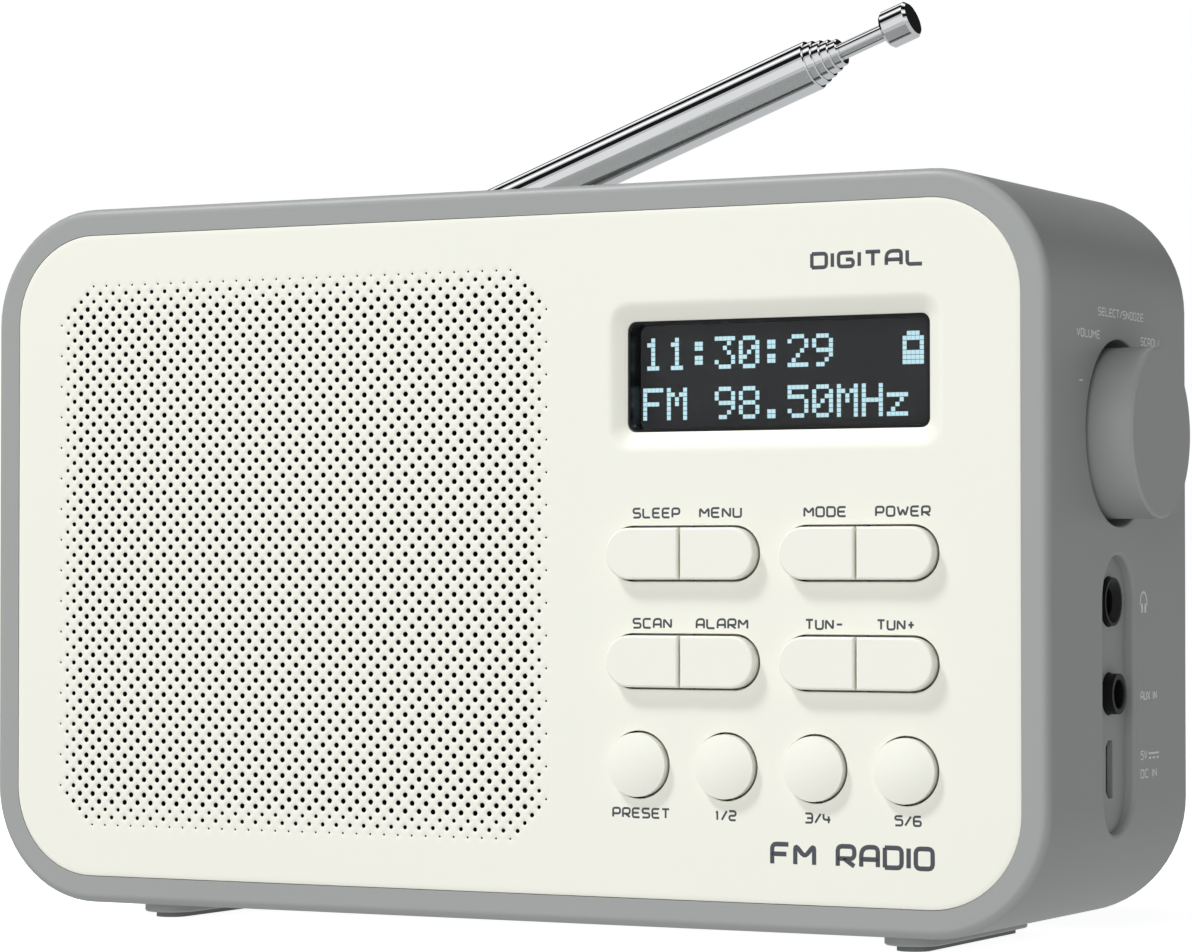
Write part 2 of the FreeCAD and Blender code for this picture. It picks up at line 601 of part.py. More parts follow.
def makeBoards():
    board = block("Board", "boardRight - boardLeft", "boardThick", "boardTop - boardLow",
                  "boardLeft", "boardAt", "boardLow")
    holes = [rod(f"BoardHole{number}", "screwRadius", "boardThick", x, "boardAt", z, "Y")
             for number, (x, z) in enumerate(BOARD_SCREWS)]
    piece(cut("MainBoard", board, *holes), "main_board")
    switches = []
    for number, (x, z) in enumerate(SWITCHES):
        base = block(f"Switch{number}", "switchSize", "switchTall", "switchSize", f"{x} - switchSize / 2",
                     "boardAt - switchTall", f"{z} - switchSize / 2")
        knob = rod(f"SwitchKnob{number}", "switchKnob", "switchTall + switchNub", x,
                   "boardAt - switchTall - switchNub", z, "Y")
        switches.append(fuse(f"TactSwitch{number}", base, knob))
    group("tact_switches", switches)
    group("board_screws", [panScrew(f"BoardScrew{number}", "postHole", "boardThick + postScrew", x,
                                    "boardAt + boardThick", z)
                           for number, (x, z) in enumerate(BOARD_SCREWS)])
    can = block("Receiver", "receiverWidth", "receiverThick", "receiverTall", "receiverLeft",
                "boardAt + boardThick", "receiverLow")
    piece(can, "receiver_module")
    side = block("SideBoard", "sideBoardThick", "sideBoardRear - sideBoardFront",
                 "sideBoardTop - sideBoardLow",
                 "sideBoardAt", "sideBoardFront", "sideBoardLow")
    piece(side, "side_board")
    # flat ribbon from the main board back to the side board
    low, deep = "ribbonZ - ribbonWide / 2", "boardAt + boardThick"
    runs = [block("RibbonRise", "ribbonThick", "ribbonDeep", "ribbonWide", "ribbonX", deep, low),
            block("RibbonRun", "sideBoardAt - ribbonX", "ribbonThick", "ribbonWide", "ribbonX",
                  f"{deep} + ribbonDeep - ribbonThick", low)]
    piece(fuse("Ribbon", *runs), "ribbon_cable")


# ---- speaker -------------------------------------------------------------------------

SPEAKER_SCREWS = [(f"speakerMid {side} speakerHoles / sqrt(2)", f"{level}speakerHoles / sqrt(2)")
                  for side in "-+" for level in ("-", "")]


def ring(name, outer, inner, thick, y):
    whole = rod(name + "Outer", outer, thick, "speakerMid", y, "0", "Y")
    hole = rod(name + "Inner", inner, thick, "speakerMid", y, "0", "Y")
    return cut(name, whole, hole)


def makeSpeaker():
    cloth = block("Cloth", "clothSize", "clothThick", "clothTall", "speakerMid - clothSize / 2", "clothAt",
                  "-clothTall / 2")
    clothHoles = [rod(f"ClothHole{number}", "speakerPost", "clothThick", x, "clothAt", z, "Y")
                  for number, (x, z) in enumerate(SPEAKER_SCREWS)]
    piece(cut("GrilleCloth", cloth, *clothHoles), "grille_cloth")
    front = "clothAt + clothThick"
    gasketHoles = [rod(f"GasketHole{number}", "speakerPost", "gasketThick", x, front, z, "Y")
                   for number, (x, z) in enumerate(SPEAKER_SCREWS)]
    gasket = ring("GasketRing", "speakerRadius", "coneRadius", "gasketThick", front)
    piece(cut("SpeakerGasket", gasket, *gasketHoles), "speaker_gasket")

    face = f"{front} + gasketThick"
    deep = "speakerDeep - rimThick"
    rim = ring("BasketRim", "speakerRadius", "coneRadius", "rimThick", face)
    outer = cone("BasketOuter", "coneRadius + metalThick", "throatRadius + metalThick + throatStep", deep,
                 "speakerMid", f"{face} + rimThick", "0")
    inner = cone("BasketInner", "coneRadius", "throatRadius + throatStep", deep, "speakerMid",
                 f"{face} + rimThick", "0")
    basket = fuse("BasketWhole", rim, cut("BasketCone", outer, inner))
    holes = [rod(f"BasketHole{number}", "screwRadius", "rimThick", x, face, z, "Y")
             for number, (x, z) in enumerate(SPEAKER_SCREWS)]
    piece(cut("Basket", basket, *holes), "speaker_basket")

    # paper cone with a dust cap, clear of the basket
    start = f"{face} + rimThick"
    length = f"{deep} - coneClear"
    paperOuter = cone("PaperOuter", "coneRadius - coneClear", "throatRadius", length, "speakerMid", start,
                      "0")
    paperInner = cone("PaperInner", "coneRadius - coneClear - coneThick", "throatRadius - coneThick", length,
                      "speakerMid", start, "0")
    paper = cut("Paper", paperOuter, paperInner)
    cap = rod("DustCap", "throatRadius", "coneThick", "speakerMid", f"{start} + {length} - coneThick", "0",
              "Y")
    piece(fuse("Cone", paper, cap), "speaker_cone")
    piece(rod("Magnet", "magnetRadius", "magnetThick", "speakerMid", f"{face} + speakerDeep", "0", "Y"),
          "speaker_magnet")
    group("speaker_screws", [panScrew(f"SpeakerScrew{number}", "postHole", "rimThick + studScrew", x,
                                      f"{face} + rimThick", z)
                             for number, (x, z) in enumerate(SPEAKER_SCREWS)])


# ---- sockets on the right-hand side ------------------------------------------------------


def makeJack(label, radius, face, z, bevel):
    nose = rod(label + "Nose", radius, f"{face} - encoderBack", "encoderBack", "grooveY", z, "X")
    body = block(label + "Block", "jackLong", "jackWide", "jackTall", "encoderBack",
                 "grooveY - jackWide / 2", f"{z} - jackTall / 2")
    hole = rod(label + "Hole", "plugHole", "plugDeep", f"{face} - plugDeep", "grooveY", z, "X")
    mouth = doc.addObject("Part::Cone", label + "Mouth")
    bind(mouth, Radius1="plugHole", Radius2=f"plugHole + {bevel}", Height=bevel)
    place(mouth, f"{face} - {bevel}", "grooveY", z, "Y", "90")
    piece(cut(label, fuse(label + "Solid", nose, body), hole, mouth), label)


USB_SHELL = ("usbWide + 2 * usbShell + holeGap", "usbLong + 2 * usbShell + holeGap", "usbShell",
             "grooveY", "usbZ")


def usbMouth(sketch):
    # an upright slot with its two front corners cut off
    front, rear = "grooveY - usbWide / 2", "grooveY + usbWide / 2"
    low, high = "usbZ - usbLong / 2", "usbZ + usbLong / 2"
    outline(sketch, ((front, f"{low} + usbBevel"), (f"{front} + usbBevel", low), (rear, low),
                     (rear, high), (f"{front} + usbBevel", high), (front, f"{high} - usbBevel")))


def makeUsb():
    body = newBody("usb_socket")
    shell = newSketch(body, "YZ_Plane", "encoderBack")
    roundedRect(shell, "usbWide + 2 * usbShell", "usbLong + 2 * usbShell", "usbShell", "grooveY", "usbZ")
    pad(shell, "usbFace - encoderBack")
    # the opening, with the contact tongue left standing in it
    mouth = newSketch(body, "YZ_Plane", "usbFace")
    usbMouth(mouth)
    pocket(mouth, "usbDeep", back=True)
    tongue = newSketch(body, "YZ_Plane", "usbFace - usbDeep - usbShell")
    low, high = "usbZ - usbLong / 4", "usbZ + usbLong / 4"
    outline(tongue, (("grooveY", low), ("grooveY + usbTongue", low), ("grooveY + usbTongue", high),
                     ("grooveY", high)))
    pad(tongue, "usbDeep - usbShell")


# ---- knob and encoder ----------------------------------------------------------------


def makeKnob():
    body = newBody("knob")
    place(body, "0", "knobY", "knobZ")
    profile = newSketch(body, "XY_Plane")
    face = "caseWidth / 2 + knobReach"
    inside = "knobRadius - knobWall"
    outline(profile, (("shaftEnd", "0"), (face, "0"), (face, "knobRadius - knobEdge"),
                      (f"{face} - knobEdge", "knobRadius"), ("knobBack", "knobRadius"), ("knobBack", inside),
                      ("hollowDeep", inside), ("hollowDeep", "knobHub"), ("hubBack", "knobHub"),
                      ("hubBack", "shaftRadius"), ("shaftEnd", "shaftRadius")))
    turned(profile, "H_Axis")


def alongX(name, radius, start, end):
    return rod(name, radius, f"({end}) - ({start})", start, "knobY", "knobZ", "X")


def makeEncoder():
    piece(alongX("KnobShaft", "shaftRadius", "shaftStart", "shaftEnd"), "knob_shaft")
    piece(alongX("EncoderPlunger", "plungerRadius", "shaftStart - plungerThick", "shaftStart"),
          "encoder_plunger")
    half = "encoderSize / 2"
    body = block("EncoderBlock", "encoderFace - encoderBack", "encoderSize", "encoderSize", "encoderBack",
                 f"knobY - {half}", f"knobZ - {half}")
    bush = alongX("EncoderBush", "bushRadius", "encoderFace", "bushEnd")
    bore = alongX("EncoderBore", "shaftRadius + bushGap", "encoderBack + cavityDeep", "bushEnd")
    cavity = alongX("EncoderCavity", "cavityRadius", "encoderBack + cavityFloor", "encoderBack + cavityDeep")
    piece(cut("Encoder", fuse("EncoderSolid", body, bush), bore, cavity), "encoder_body")
    nut = hexagon("NutBlank", "nutAcross", "nutThick", "wellFloor", "knobY", "knobZ", "X")
    piece(cut("EncoderNut", nut, alongX("NutHole", "bushRadius", "wellFloor", "wellFloor + nutThick")),
          "encoder_nut")


# ---- antenna -------------------------------------------------------------------------

TUBES = range(1, 6)


def onAntenna(thing):
    # stands thing at the pivot, with its own X along the antenna
    place(thing, "pivotX", "pivotY", "pivotZ", "Y", "-antennaAngle")
    return thing


def antennaBody(label, points):
    # a piece turned about the antenna's axis; points are distances along it and radii
    body = newBody(label)
    onAntenna(body)
    profile = newSketch(body, "XY_Plane")
    outline(profile, points)
    turned(profile, "H_Axis")
    return body


def makeFirstTube():
    # the outer tube has a plugged root and a flat tab with the hole for the hinge pin
    inner = "tubeRadius - tubeWall"
    body = antennaBody("antenna_tube_1", (
        ("tubeStart", "0"), ("tubeStart", "tubeRadius - tubeWall"), ("tubeStart + tubeWall", "tubeRadius"),
        ("tubeEnd - tubeRound", "tubeRadius"), ("tubeEnd", "tubeRadius - tubeRound"), ("tubeEnd", inner),
        ("tubeStart + tubePlug", inner), ("tubeStart + tubePlug", "0")))
    tab = newSketch(body, "XY_Plane", "-tabThick / 2")
    stadium(tab, "2 * tabRadius + tubeStart + tubePlug / 2", "2 * tabRadius",
            "(tubeStart + tubePlug / 2) / 2", "0")
    pad(tab, "tabThick")
    hole = newSketch(body, "XY_Plane", "-tabThick")
    circle(hole, "pinRadius + pinSlip")
    pocket(hole, "2 * tabThick")


def makeInnerTube(number):
    # each tube slides inside the one before it; the last one has a lip that guides the rod
    outer = f"tubeRadius - {number - 1} * radiusStep"
    start = f"tubeStart + tubePlug + {number - 1} * rootStep"
    end = f"tubeEnd + {number - 1} * tubeStep"
    inner = f"{outer} - tubeWall"
    lip = "rodRadius + rodSlip" if number == TUBES[-1] else inner
    points = [(start, inner), (start, outer), (f"{end} - tubeRound", outer), (end, f"{outer} - tubeRound")]
    if number == TUBES[-1]:
        points += [(end, lip), (f"{end} - rodCollar / 3", lip), (f"{end} - rodCollar / 3", inner)]
    else:
        points += [(end, inner)]
    antennaBody(f"antenna_tube_{number}", points)


def makeAntennaRod():
    start = "tubeStart + tubePlug + 5 * rootStep"
    collar = "tubeRadius - 4 * radiusStep - tubeWall - rodSlip"
    antennaBody("antenna_rod", ((start, "0"), (start, collar), (f"{start} + rodCollar", collar),
                                (f"{start} + rodCollar", "rodRadius"), ("rodEnd", "rodRadius"),
                                ("rodEnd", "0")))
    antennaBody("antenna_tip", (("tipStart", "rodRadius"), ("tipStart", "tipRadius - tipEdge"),
                                ("tipStart + tipEdge", "tipRadius"), ("tipEnd - tipEdge", "tipRadius"),
                                ("tipEnd", "tipRadius - tipEdge"), ("tipEnd", "0"), ("rodEnd", "0"),
                                ("rodEnd", "rodRadius")))


def makeSwivel():
    # a fork on a spindle that turns in the bush in the rebate wall
    body = newBody("antenna_swivel")
    onAntenna(body)
    spindle = newSketch(body, "XZ_Plane", "-spindleEnd")
    circle(spindle, "spindleRadius")
    pad(spindle, "spindleEnd - flangeAt + swivelFlange / 2")
    flange = newSketch(body, "XZ_Plane", "-flangeAt")
    circle(flange, "swivelFlangeRadius")
    pad(flange, "swivelFlange")
    inside = "tabThick / 2 + earGap"
    for level in (inside, f"-({inside}) - earThick"):
        ear = newSketch(body, "XY_Plane", level)
        stadium(ear, "flangeAt - swivelFlange / 2 + tabRadius + tabRadius / 2", "2 * tabRadius",
                "0", "-(flangeAt - swivelFlange / 2 - tabRadius / 2) / 2", upright=True)
        pad(ear, "earThick")
    trim = newSketch(body, "XZ_Plane", "-flangeAt - 2 * swivelFlange")
    circle(trim, "swivelFlangeRadius + tabRadius")
    circle(trim, "spindleRadius")
    pocket(trim, "2 * swivelFlange")
    hole = newSketch(body, "XY_Plane", "-tabRadius * 2")
    circle(hole, "pinRadius")
    pocket(hole, "tabRadius * 4")

    head = "tabThick / 2 + earGap + earThick"
    pin = antennaPin(head)
    piece(pin, "antenna_hinge_pin")
    nut = hexagon("LockNutBlank", "lockNutAcross", "lockNutThick", "pivotX",
                  "pivotY - lockNutAt - lockNutThick", "pivotZ", "Y")
    hole = rod("LockNutHole", "spindleRadius", "lockNutThick", "pivotX", "pivotY - lockNutAt - lockNutThick",
               "pivotZ", "Y")
    piece(cut("LockNut", nut, hole), "antenna_nut")


def antennaPin(head):
    body = doc.addObject("PartDesign::Body", "HingePin")
    onAntenna(body)
    shank = newSketch(body, "XY_Plane", f"-({head})")
    circle(shank, "pinRadius")
    pad(shank, f"2 * ({head})")
    for level in (head, f"-({head}) - pinHeadThick"):
        cap = newSketch(body, "XY_Plane", level)
        circle(cap, "pinHead")
        pad(cap, "pinHeadThick")
    return body


def makeAntennaBush():
    inner = "spindleRadius + spindleSlip"
    sleeve = rod("BushSleeve", "bushOuter", "rebateFront - bushInner", "pivotX", "bushInner", "pivotZ", "Y")
    collar = rod("BushCollar", "bushCollar", "bushCollarThick", "pivotX",
                 "rebateFront - rebateWall - bushCollarThick", "pivotZ", "Y")
    bore = rod("BushBore", inner, "rebateFront - bushInner", "pivotX", "bushInner", "pivotZ", "Y")
    piece(cut("AntennaBush", fuse("BushSolid", sleeve, collar), bore), "antenna_bush")


# ---- rear cover and battery bay ------------------------------------------------------


def bayRect(sketch, grow):
    half, tall = f"bayWidth / 2 + {grow}", f"bayTall / 2 + {grow}"
    outline(sketch, ((f"-({half})", f"bayMid - ({tall})"), (half, f"bayMid - ({tall})"),
                     (half, f"bayMid + ({tall})"), (f"-({half})", f"bayMid + ({tall})")))


def makeRearCover():
    body = newBody("rear_cover")
    width, height, corner = INSIDE
    face = "caseDepth - coverThick"
    plate = newSketch(body, "XZ_Plane", face)
    roundedRect(plate, f"{width} - 2 * coverGap", f"{height} - 2 * coverGap", f"{corner} - coverGap")
    pad(plate, "coverThick")
    notch = newSketch(body, "XZ_Plane", face)
    left, right = "rebateLeft - rebateWall - coverGap", "rebateRight + rebateWall + coverGap"
    low = "rebateFloor - rebateWall - coverGap"
    outline(notch, ((left, low), (right, low), (right, "caseHeight"), (left, "caseHeight")))
    pocket(notch, "coverThick")
    bay = newSketch(body, "XZ_Plane", "bayFront")
    bayRect(bay, "bayWall")
    pad(bay, "caseDepth - coverThick / 2 - bayFront")
    hollow = newSketch(body, "XZ_Plane", "bayFront + bayWall")
    bayRect(hollow, "0")
    pocket(hollow, "caseDepth")
    # recess for the door's pin stubs, one at each end of its lower edge
    stubs = newSketch(body, "YZ_Plane", "-bayWidth / 2 - doorPinLong - doorGap")
    circle(stubs, "doorPin + doorPinSlip", "doorHingeY", DOOR_AXIS)
    pocket(stubs, "bayWidth + 2 * doorPinLong + 2 * doorGap")
    holes = newSketch(body, "XZ_Plane", face)
    heads = newSketch(body, "XZ_Plane", "caseDepth - headSink")
    for x, z in BOSSES:
        circle(holes, "screwRadius + holeGap", x, z)
        circle(heads, "screwHead + holeGap", x, z)
    pocket(holes, "coverThick")
    pocket(heads, "headSink")
    notch = newSketch(body, "XZ_Plane", "caseDepth - notchDeep")
    stadium(notch, "notchWidth", "notchTall", "0", "bayMid + bayTall / 2")
    pocket(notch, "notchDeep")
    vents = newSketch(body, "XZ_Plane", face)
    for row in range(int(DIMS["ventCount"])):
        stadium(vents, "ventWidth", "ventTall", "speakerMid", f"ventLow + {row} * ventPitch")
    pocket(vents, "coverThick")


DOOR_AXIS = "bayMid - bayTall / 2 + doorGap + doorHinge"


def makeBatteryDoor():
    body = newBody("battery_door")
    half = "bayWidth / 2 - doorGap"
    # the lower edge is round about the hinge line, so that it swings in its opening
    side = newSketch(body, "YZ_Plane", f"-({half})")
    circle(side, "doorHinge", "doorHingeY", DOOR_AXIS)
    pad(side, f"2 * ({half})")
    plate = newSketch(body, "XZ_Plane", "doorHingeY + doorHinge - doorThick")
    low, high = DOOR_AXIS, "bayMid + bayTall / 2 - doorGap"
    outline(plate, ((f"-({half})", low), (half, low), (half, high), (f"-({half})", high)))
    pad(plate, "doorThick")
    pins = newSketch(body, "YZ_Plane", f"-({half}) - doorPinLong")
    circle(pins, "doorPin", "doorHingeY", DOOR_AXIS)
    pad(pins, f"2 * ({half}) + 2 * doorPinLong")


def makeBatteries():
    cellsMade, plates = [], []
    for row, z in enumerate(("bayMid - bayTall / 4", "bayMid + bayTall / 4")):
        for column, side in enumerate((-1, 1)):
            # the two cells of a row stand end to end, with their nubs to the right
            start = "-cellLong - cellNubLong" if side < 0 else "contactThick / 2"
            name = f"Cell{row}{column}"
            can = rod(name + "Can", "cellRadius", "cellLong - cellNubLong", start, "cellY", z, "X")
            nub = rod(name + "Nub", "cellNub", "cellNubLong", f"{start} + cellLong - cellNubLong", "cellY",
                      z, "X")
            cellsMade.append(fuse(name, can, nub))
        for column, x in enumerate(("-bayWidth / 2 + contactGap",
                                    "bayWidth / 2 - contactThick - contactGap")):
            plates.append(block(f"Contact{row}{column}", "contactThick", "2 * cellNub", "2 * cellNub", x,
                                "cellY - cellNub", f"{z} - cellNub"))
    group("battery_cells", cellsMade)
    group("battery_contacts", plates)


def makeRearScrews():
    group("rear_screws", [panScrew(f"RearScrew{number}", "screwHole", "screwLong", x,
                                   "caseDepth - headSink", z)
                          for number, (x, z) in enumerate(BOSSES)])


# ---- assembly ------------------------------------------------------------------------

makeCaseShell()
makeFoot("foot_left", "-")
makeFoot("foot_right", "")
makeFrontPanel()
makeDisplay()
makeButtons()
makeBoards()
makeSpeaker()
makeJack("headphone_jack", "phonesRadius", "phonesFace", "phonesZ", "phonesBevel")
makeJack("aux_jack", "auxRadius", "auxFace", "auxZ", "auxBevel")
makeUsb()
makeKnob()
makeEncoder()
makeFirstTube()
for tube in TUBES[1:]:
    makeInnerTube(tube)
makeAntennaRod()
makeSwivel()
makeAntennaBush()
makeRearCover()
makeBatteryDoor()
makeBatteries()
makeRearScrews()
doc.recompute()

failed = [thing.Name for thing in doc.Objects if {"Invalid", "Error"} & set(thing.State)]
failed += [thing.Label for thing in pieces if thing.Shape.isNull() or not thing.Shape.isValid()]
if failed:
    raise SystemExit("failed: " + ", ".join(failed))

os.makedirs("parts", exist_ok=True)
for thing in pieces:
    thing.Shape.exportStep(f"parts/{thing.Label}.step")
    print(f"{thing.Label}: {len(thing.Shape.Solids)} solid, {thing.Shape.Volume:.1f} cubic mm")
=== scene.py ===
import bmesh
import bpy
import json
import math
from mathutils import Matrix, Vector


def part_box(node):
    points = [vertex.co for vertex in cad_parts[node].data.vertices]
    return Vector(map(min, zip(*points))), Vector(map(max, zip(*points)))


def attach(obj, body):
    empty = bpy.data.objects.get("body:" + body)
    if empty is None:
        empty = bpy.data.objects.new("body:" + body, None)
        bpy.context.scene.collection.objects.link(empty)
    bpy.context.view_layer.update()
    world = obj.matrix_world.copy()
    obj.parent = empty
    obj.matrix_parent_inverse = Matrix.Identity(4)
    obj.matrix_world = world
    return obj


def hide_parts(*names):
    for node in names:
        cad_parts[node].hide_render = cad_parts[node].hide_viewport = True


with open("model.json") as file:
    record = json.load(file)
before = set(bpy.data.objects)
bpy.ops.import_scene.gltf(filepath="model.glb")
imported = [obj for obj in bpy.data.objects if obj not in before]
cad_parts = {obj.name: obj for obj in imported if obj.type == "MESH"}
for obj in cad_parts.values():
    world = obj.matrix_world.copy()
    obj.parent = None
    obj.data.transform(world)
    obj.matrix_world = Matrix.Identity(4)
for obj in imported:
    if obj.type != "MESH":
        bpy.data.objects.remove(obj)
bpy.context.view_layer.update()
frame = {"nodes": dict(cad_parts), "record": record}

# Every size below is in millimetres from the middle of the front face: X to the right,
# Y to the rear, Z up. toFrame takes it to the frame of the model.
mm = 0.001
panelLow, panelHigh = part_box("front_panel")
centre = Vector(((panelLow.x + panelHigh.x) / 2, panelLow.y, (panelLow.z + panelHigh.z) / 2))
toFrame = Matrix.Translation(centre) @ Matrix.Scale(mm, 4)
faceFront = Matrix.Rotation(math.radians(90), 4, "X")  # a drawing on XY stands up on the front
faceRight = Matrix.Rotation(math.radians(90), 4, "Z") @ faceFront  # or on the right-hand side


# shader node groups

def newGroup(name, inputs, outputs):
    group = bpy.data.node_groups.new(name, "ShaderNodeTree")
    for label, kind, value in inputs:
        socket = group.interface.new_socket(name=label, in_out="INPUT", socket_type=kind)
        socket.default_value = value
    for label, kind in outputs:
        group.interface.new_socket(name=label, in_out="OUTPUT", socket_type=kind)
    nodes = group.nodes
    return group, nodes, group.links, nodes.new("NodeGroupInput"), nodes.new("NodeGroupOutput")


def mouldedSkin():
    # fine spark-eroded grain with a slow drift of tone, for moulded plastic and rubber
    group, nodes, links, given, result = newGroup(
        "moulded skin",
        (("Colour", "NodeSocketColor", (0.5, 0.5, 0.5, 1)), ("Drift", "NodeSocketFloat", 0.04),
         ("Grain Scale", "NodeSocketFloat", 2600), ("Grain Depth", "NodeSocketFloat", 0.00001),
         ("Roughness", "NodeSocketFloat", 0.5), ("Spread", "NodeSocketFloat", 0.08)),
        (("Colour", "NodeSocketColor"), ("Roughness", "NodeSocketFloat"), ("Normal", "NodeSocketVector")))
    place = nodes.new("ShaderNodeTexCoord")
    grain = nodes.new("ShaderNodeTexNoise")
    grain.inputs["Detail"].default_value = 3
    bump = nodes.new("ShaderNodeBump")
    slow = nodes.new("ShaderNodeTexNoise")
    slow.inputs["Scale"].default_value = 28
    slow.inputs["Detail"].default_value = 2
    shift = nodes.new("ShaderNodeMath")
    shift.operation = "SUBTRACT"
    shift.inputs[1].default_value = 0.5
    gain = nodes.new("ShaderNodeMath")
    gain.operation = "MULTIPLY_ADD"
    gain.inputs[2].default_value = 1
    tone = nodes.new("ShaderNodeVectorMath")
    tone.operation = "SCALE"
    rough = nodes.new("ShaderNodeMath")
    rough.operation = "MULTIPLY_ADD"
    links.new(place.outputs["Object"], grain.inputs["Vector"])
    links.new(place.outputs["Object"], slow.inputs["Vector"])
    links.new(given.outputs["Grain Scale"], grain.inputs["Scale"])
    links.new(given.outputs["Grain Depth"], bump.inputs["Distance"])
    links.new(grain.outputs["Fac"], bump.inputs["Height"])
    links.new(slow.outputs["Fac"], shift.inputs[0])
    links.new(shift.outputs[0], gain.inputs[0])
    links.new(given.outputs["Drift"], gain.inputs[1])
    links.new(given.outputs["Colour"], tone.inputs[0])
    links.new(gain.outputs[0], tone.inputs["Scale"])
    links.new(grain.outputs["Fac"], rough.inputs[0])
    links.new(given.outputs["Spread"], rough.inputs[1])
    links.new(given.outputs["Roughness"], rough.inputs[2])
    links.new(tone.outputs[0], result.inputs["Colour"])
    links.new(rough.outputs[0], result.inputs["Roughness"])
    links.new(bump.outputs[0], result.inputs["Normal"])
    return group


def handledMetal():
    # faint smudges and polishing marks on bare or plated metal
    group, nodes, links, given, result = newGroup(
        "handled metal",
        (("Colour", "NodeSocketColor", (0.8, 0.8, 0.8, 1)), ("Roughness", "NodeSocketFloat", 0.1),
         ("Spread", "NodeSocketFloat", 0.1), ("Mark Scale", "NodeSocketFloat", 240)),
        (("Colour", "NodeSocketColor"), ("Roughness", "NodeSocketFloat")))
    place = nodes.new("ShaderNodeTexCoord")
    marks = nodes.new("ShaderNodeTexNoise")
    marks.inputs["Detail"].default_value = 5
    rough = nodes.new("ShaderNodeMath")
    rough.operation = "MULTIPLY_ADD"
    fade = nodes.new("ShaderNodeMapRange")
    fade.inputs["To Min"].default_value = 0.94
    fade.inputs["To Max"].default_value = 1.04
    tone = nodes.new("ShaderNodeVectorMath")
    tone.operation = "SCALE"
    links.new(place.outputs["Object"], marks.inputs["Vector"])
    links.new(given.outputs["Mark Scale"], marks.inputs["Scale"])
    links.new(marks.outputs["Fac"], rough.inputs[0])
    links.new(given.outputs["Spread"], rough.inputs[1])
    links.new(given.outputs["Roughness"], rough.inputs[2])
    links.new(marks.outputs["Fac"], fade.inputs["Value"])
    links.new(given.outputs["Colour"], tone.inputs[0])
    links.new(fade.outputs[0], tone.inputs["Scale"])
    links.new(tone.outputs[0], result.inputs["Colour"])
    links.new(rough.outputs[0], result.inputs["Roughness"])
    return group


skinGroup, metalGroup = mouldedSkin(), handledMetal()


def newMaterial(name, settings):
    material = bpy.data.materials.new(name)
    material.use_nodes = True
    shader = material.node_tree.nodes["Principled BSDF"]
    for label, number in settings.items():
        shader.inputs[label].default_value = number
    return material, shader


def addGroup(material, shader, group, values):
    node = material.node_tree.nodes.new("ShaderNodeGroup")
    node.node_tree = group
    for label, number in values.items():
        node.inputs[label].default_value = number
    sockets = {"Colour": "Base Color", "Roughness": "Roughness", "Normal": "Normal"}
    for output in node.outputs:
        material.node_tree.links.new(output, shader.inputs[sockets[output.name]])


def plastic(name, colour, roughness, drift=0.04, scale=2600, depth=0.00001, spread=0.08, **settings):
    spaced = {label.replace("_", " "): number for label, number in settings.items()}
    material, shader = newMaterial(name, spaced)
    addGroup(material, shader, skinGroup, {
        "Colour": (*colour, 1), "Drift": drift, "Grain Scale": scale, "Grain Depth": depth,
        "Roughness": roughness, "Spread": spread})
    return material


def metal(name, colour, roughness, spread=0.1, scale=240):
    material, shader = newMaterial(name, {"Metallic": 1})
    addGroup(material, shader, metalGroup, {
        "Colour": (*colour, 1), "Roughness": roughness, "Spread": spread, "Mark Scale": scale})
    return material


def glowing(name, colour, strength, base):
    # a screen surface with its own faint light, a little uneven; on the display glass this glow is painted
    # light standing in for the light the clear window keeps off it, on the lit dots it is the screen's own
    # light
    material, shader = newMaterial(name, {"Roughness": 0.4, "Emission Strength": strength})
    shader.inputs["Specular IOR Level"].default_value = 0.1
    addGroup(material, shader, skinGroup, {
        "Colour": (*base, 1), "Drift": 0.1, "Grain Depth": 0.000002, "Roughness": 0.35})
    light = material.node_tree.nodes.new("ShaderNodeGroup")
    light.node_tree = skinGroup
    light.inputs["Colour"].default_value = (*colour, 1)
    light.inputs["Drift"].default_value = 0.12
    material.node_tree.links.new(light.outputs["Colour"], shader.inputs["Emission Color"])
    return material


def clearPlastic(name):
    material, shader = newMaterial(name, {"Transmission Weight": 1, "IOR": 1.04, "Roughness": 0})
    node = material.node_tree.nodes.new("ShaderNodeGroup")
    node.node_tree = metalGroup
    node.inputs["Colour"].default_value = (0.96, 0.97, 0.97, 1)
    node.inputs["Roughness"].default_value = 0
    node.inputs["Spread"].default_value = 0.02
    material.node_tree.links.new(node.outputs["Colour"], shader.inputs["Base Color"])
    material.node_tree.links.new(node.outputs["Roughness"], shader.inputs["Roughness"])
    return material


def wovenCloth(name):
    material, shader = newMaterial(name, {"Roughness": 0.9, "Specular IOR Level": 0.1})
    nodes, links = material.node_tree.nodes, material.node_tree.links
    place = nodes.new("ShaderNodeTexCoord")
    weave = nodes.new("ShaderNodeTexChecker")
    weave.inputs["Scale"].default_value = 3000
    weave.inputs["Color1"].default_value = (0.004, 0.004, 0.004, 1)
    weave.inputs["Color2"].default_value = (0.008, 0.008, 0.008, 1)
    links.new(place.outputs["Object"], weave.inputs["Vector"])
    links.new(weave.outputs["Color"], shader.inputs["Base Color"])
    return material


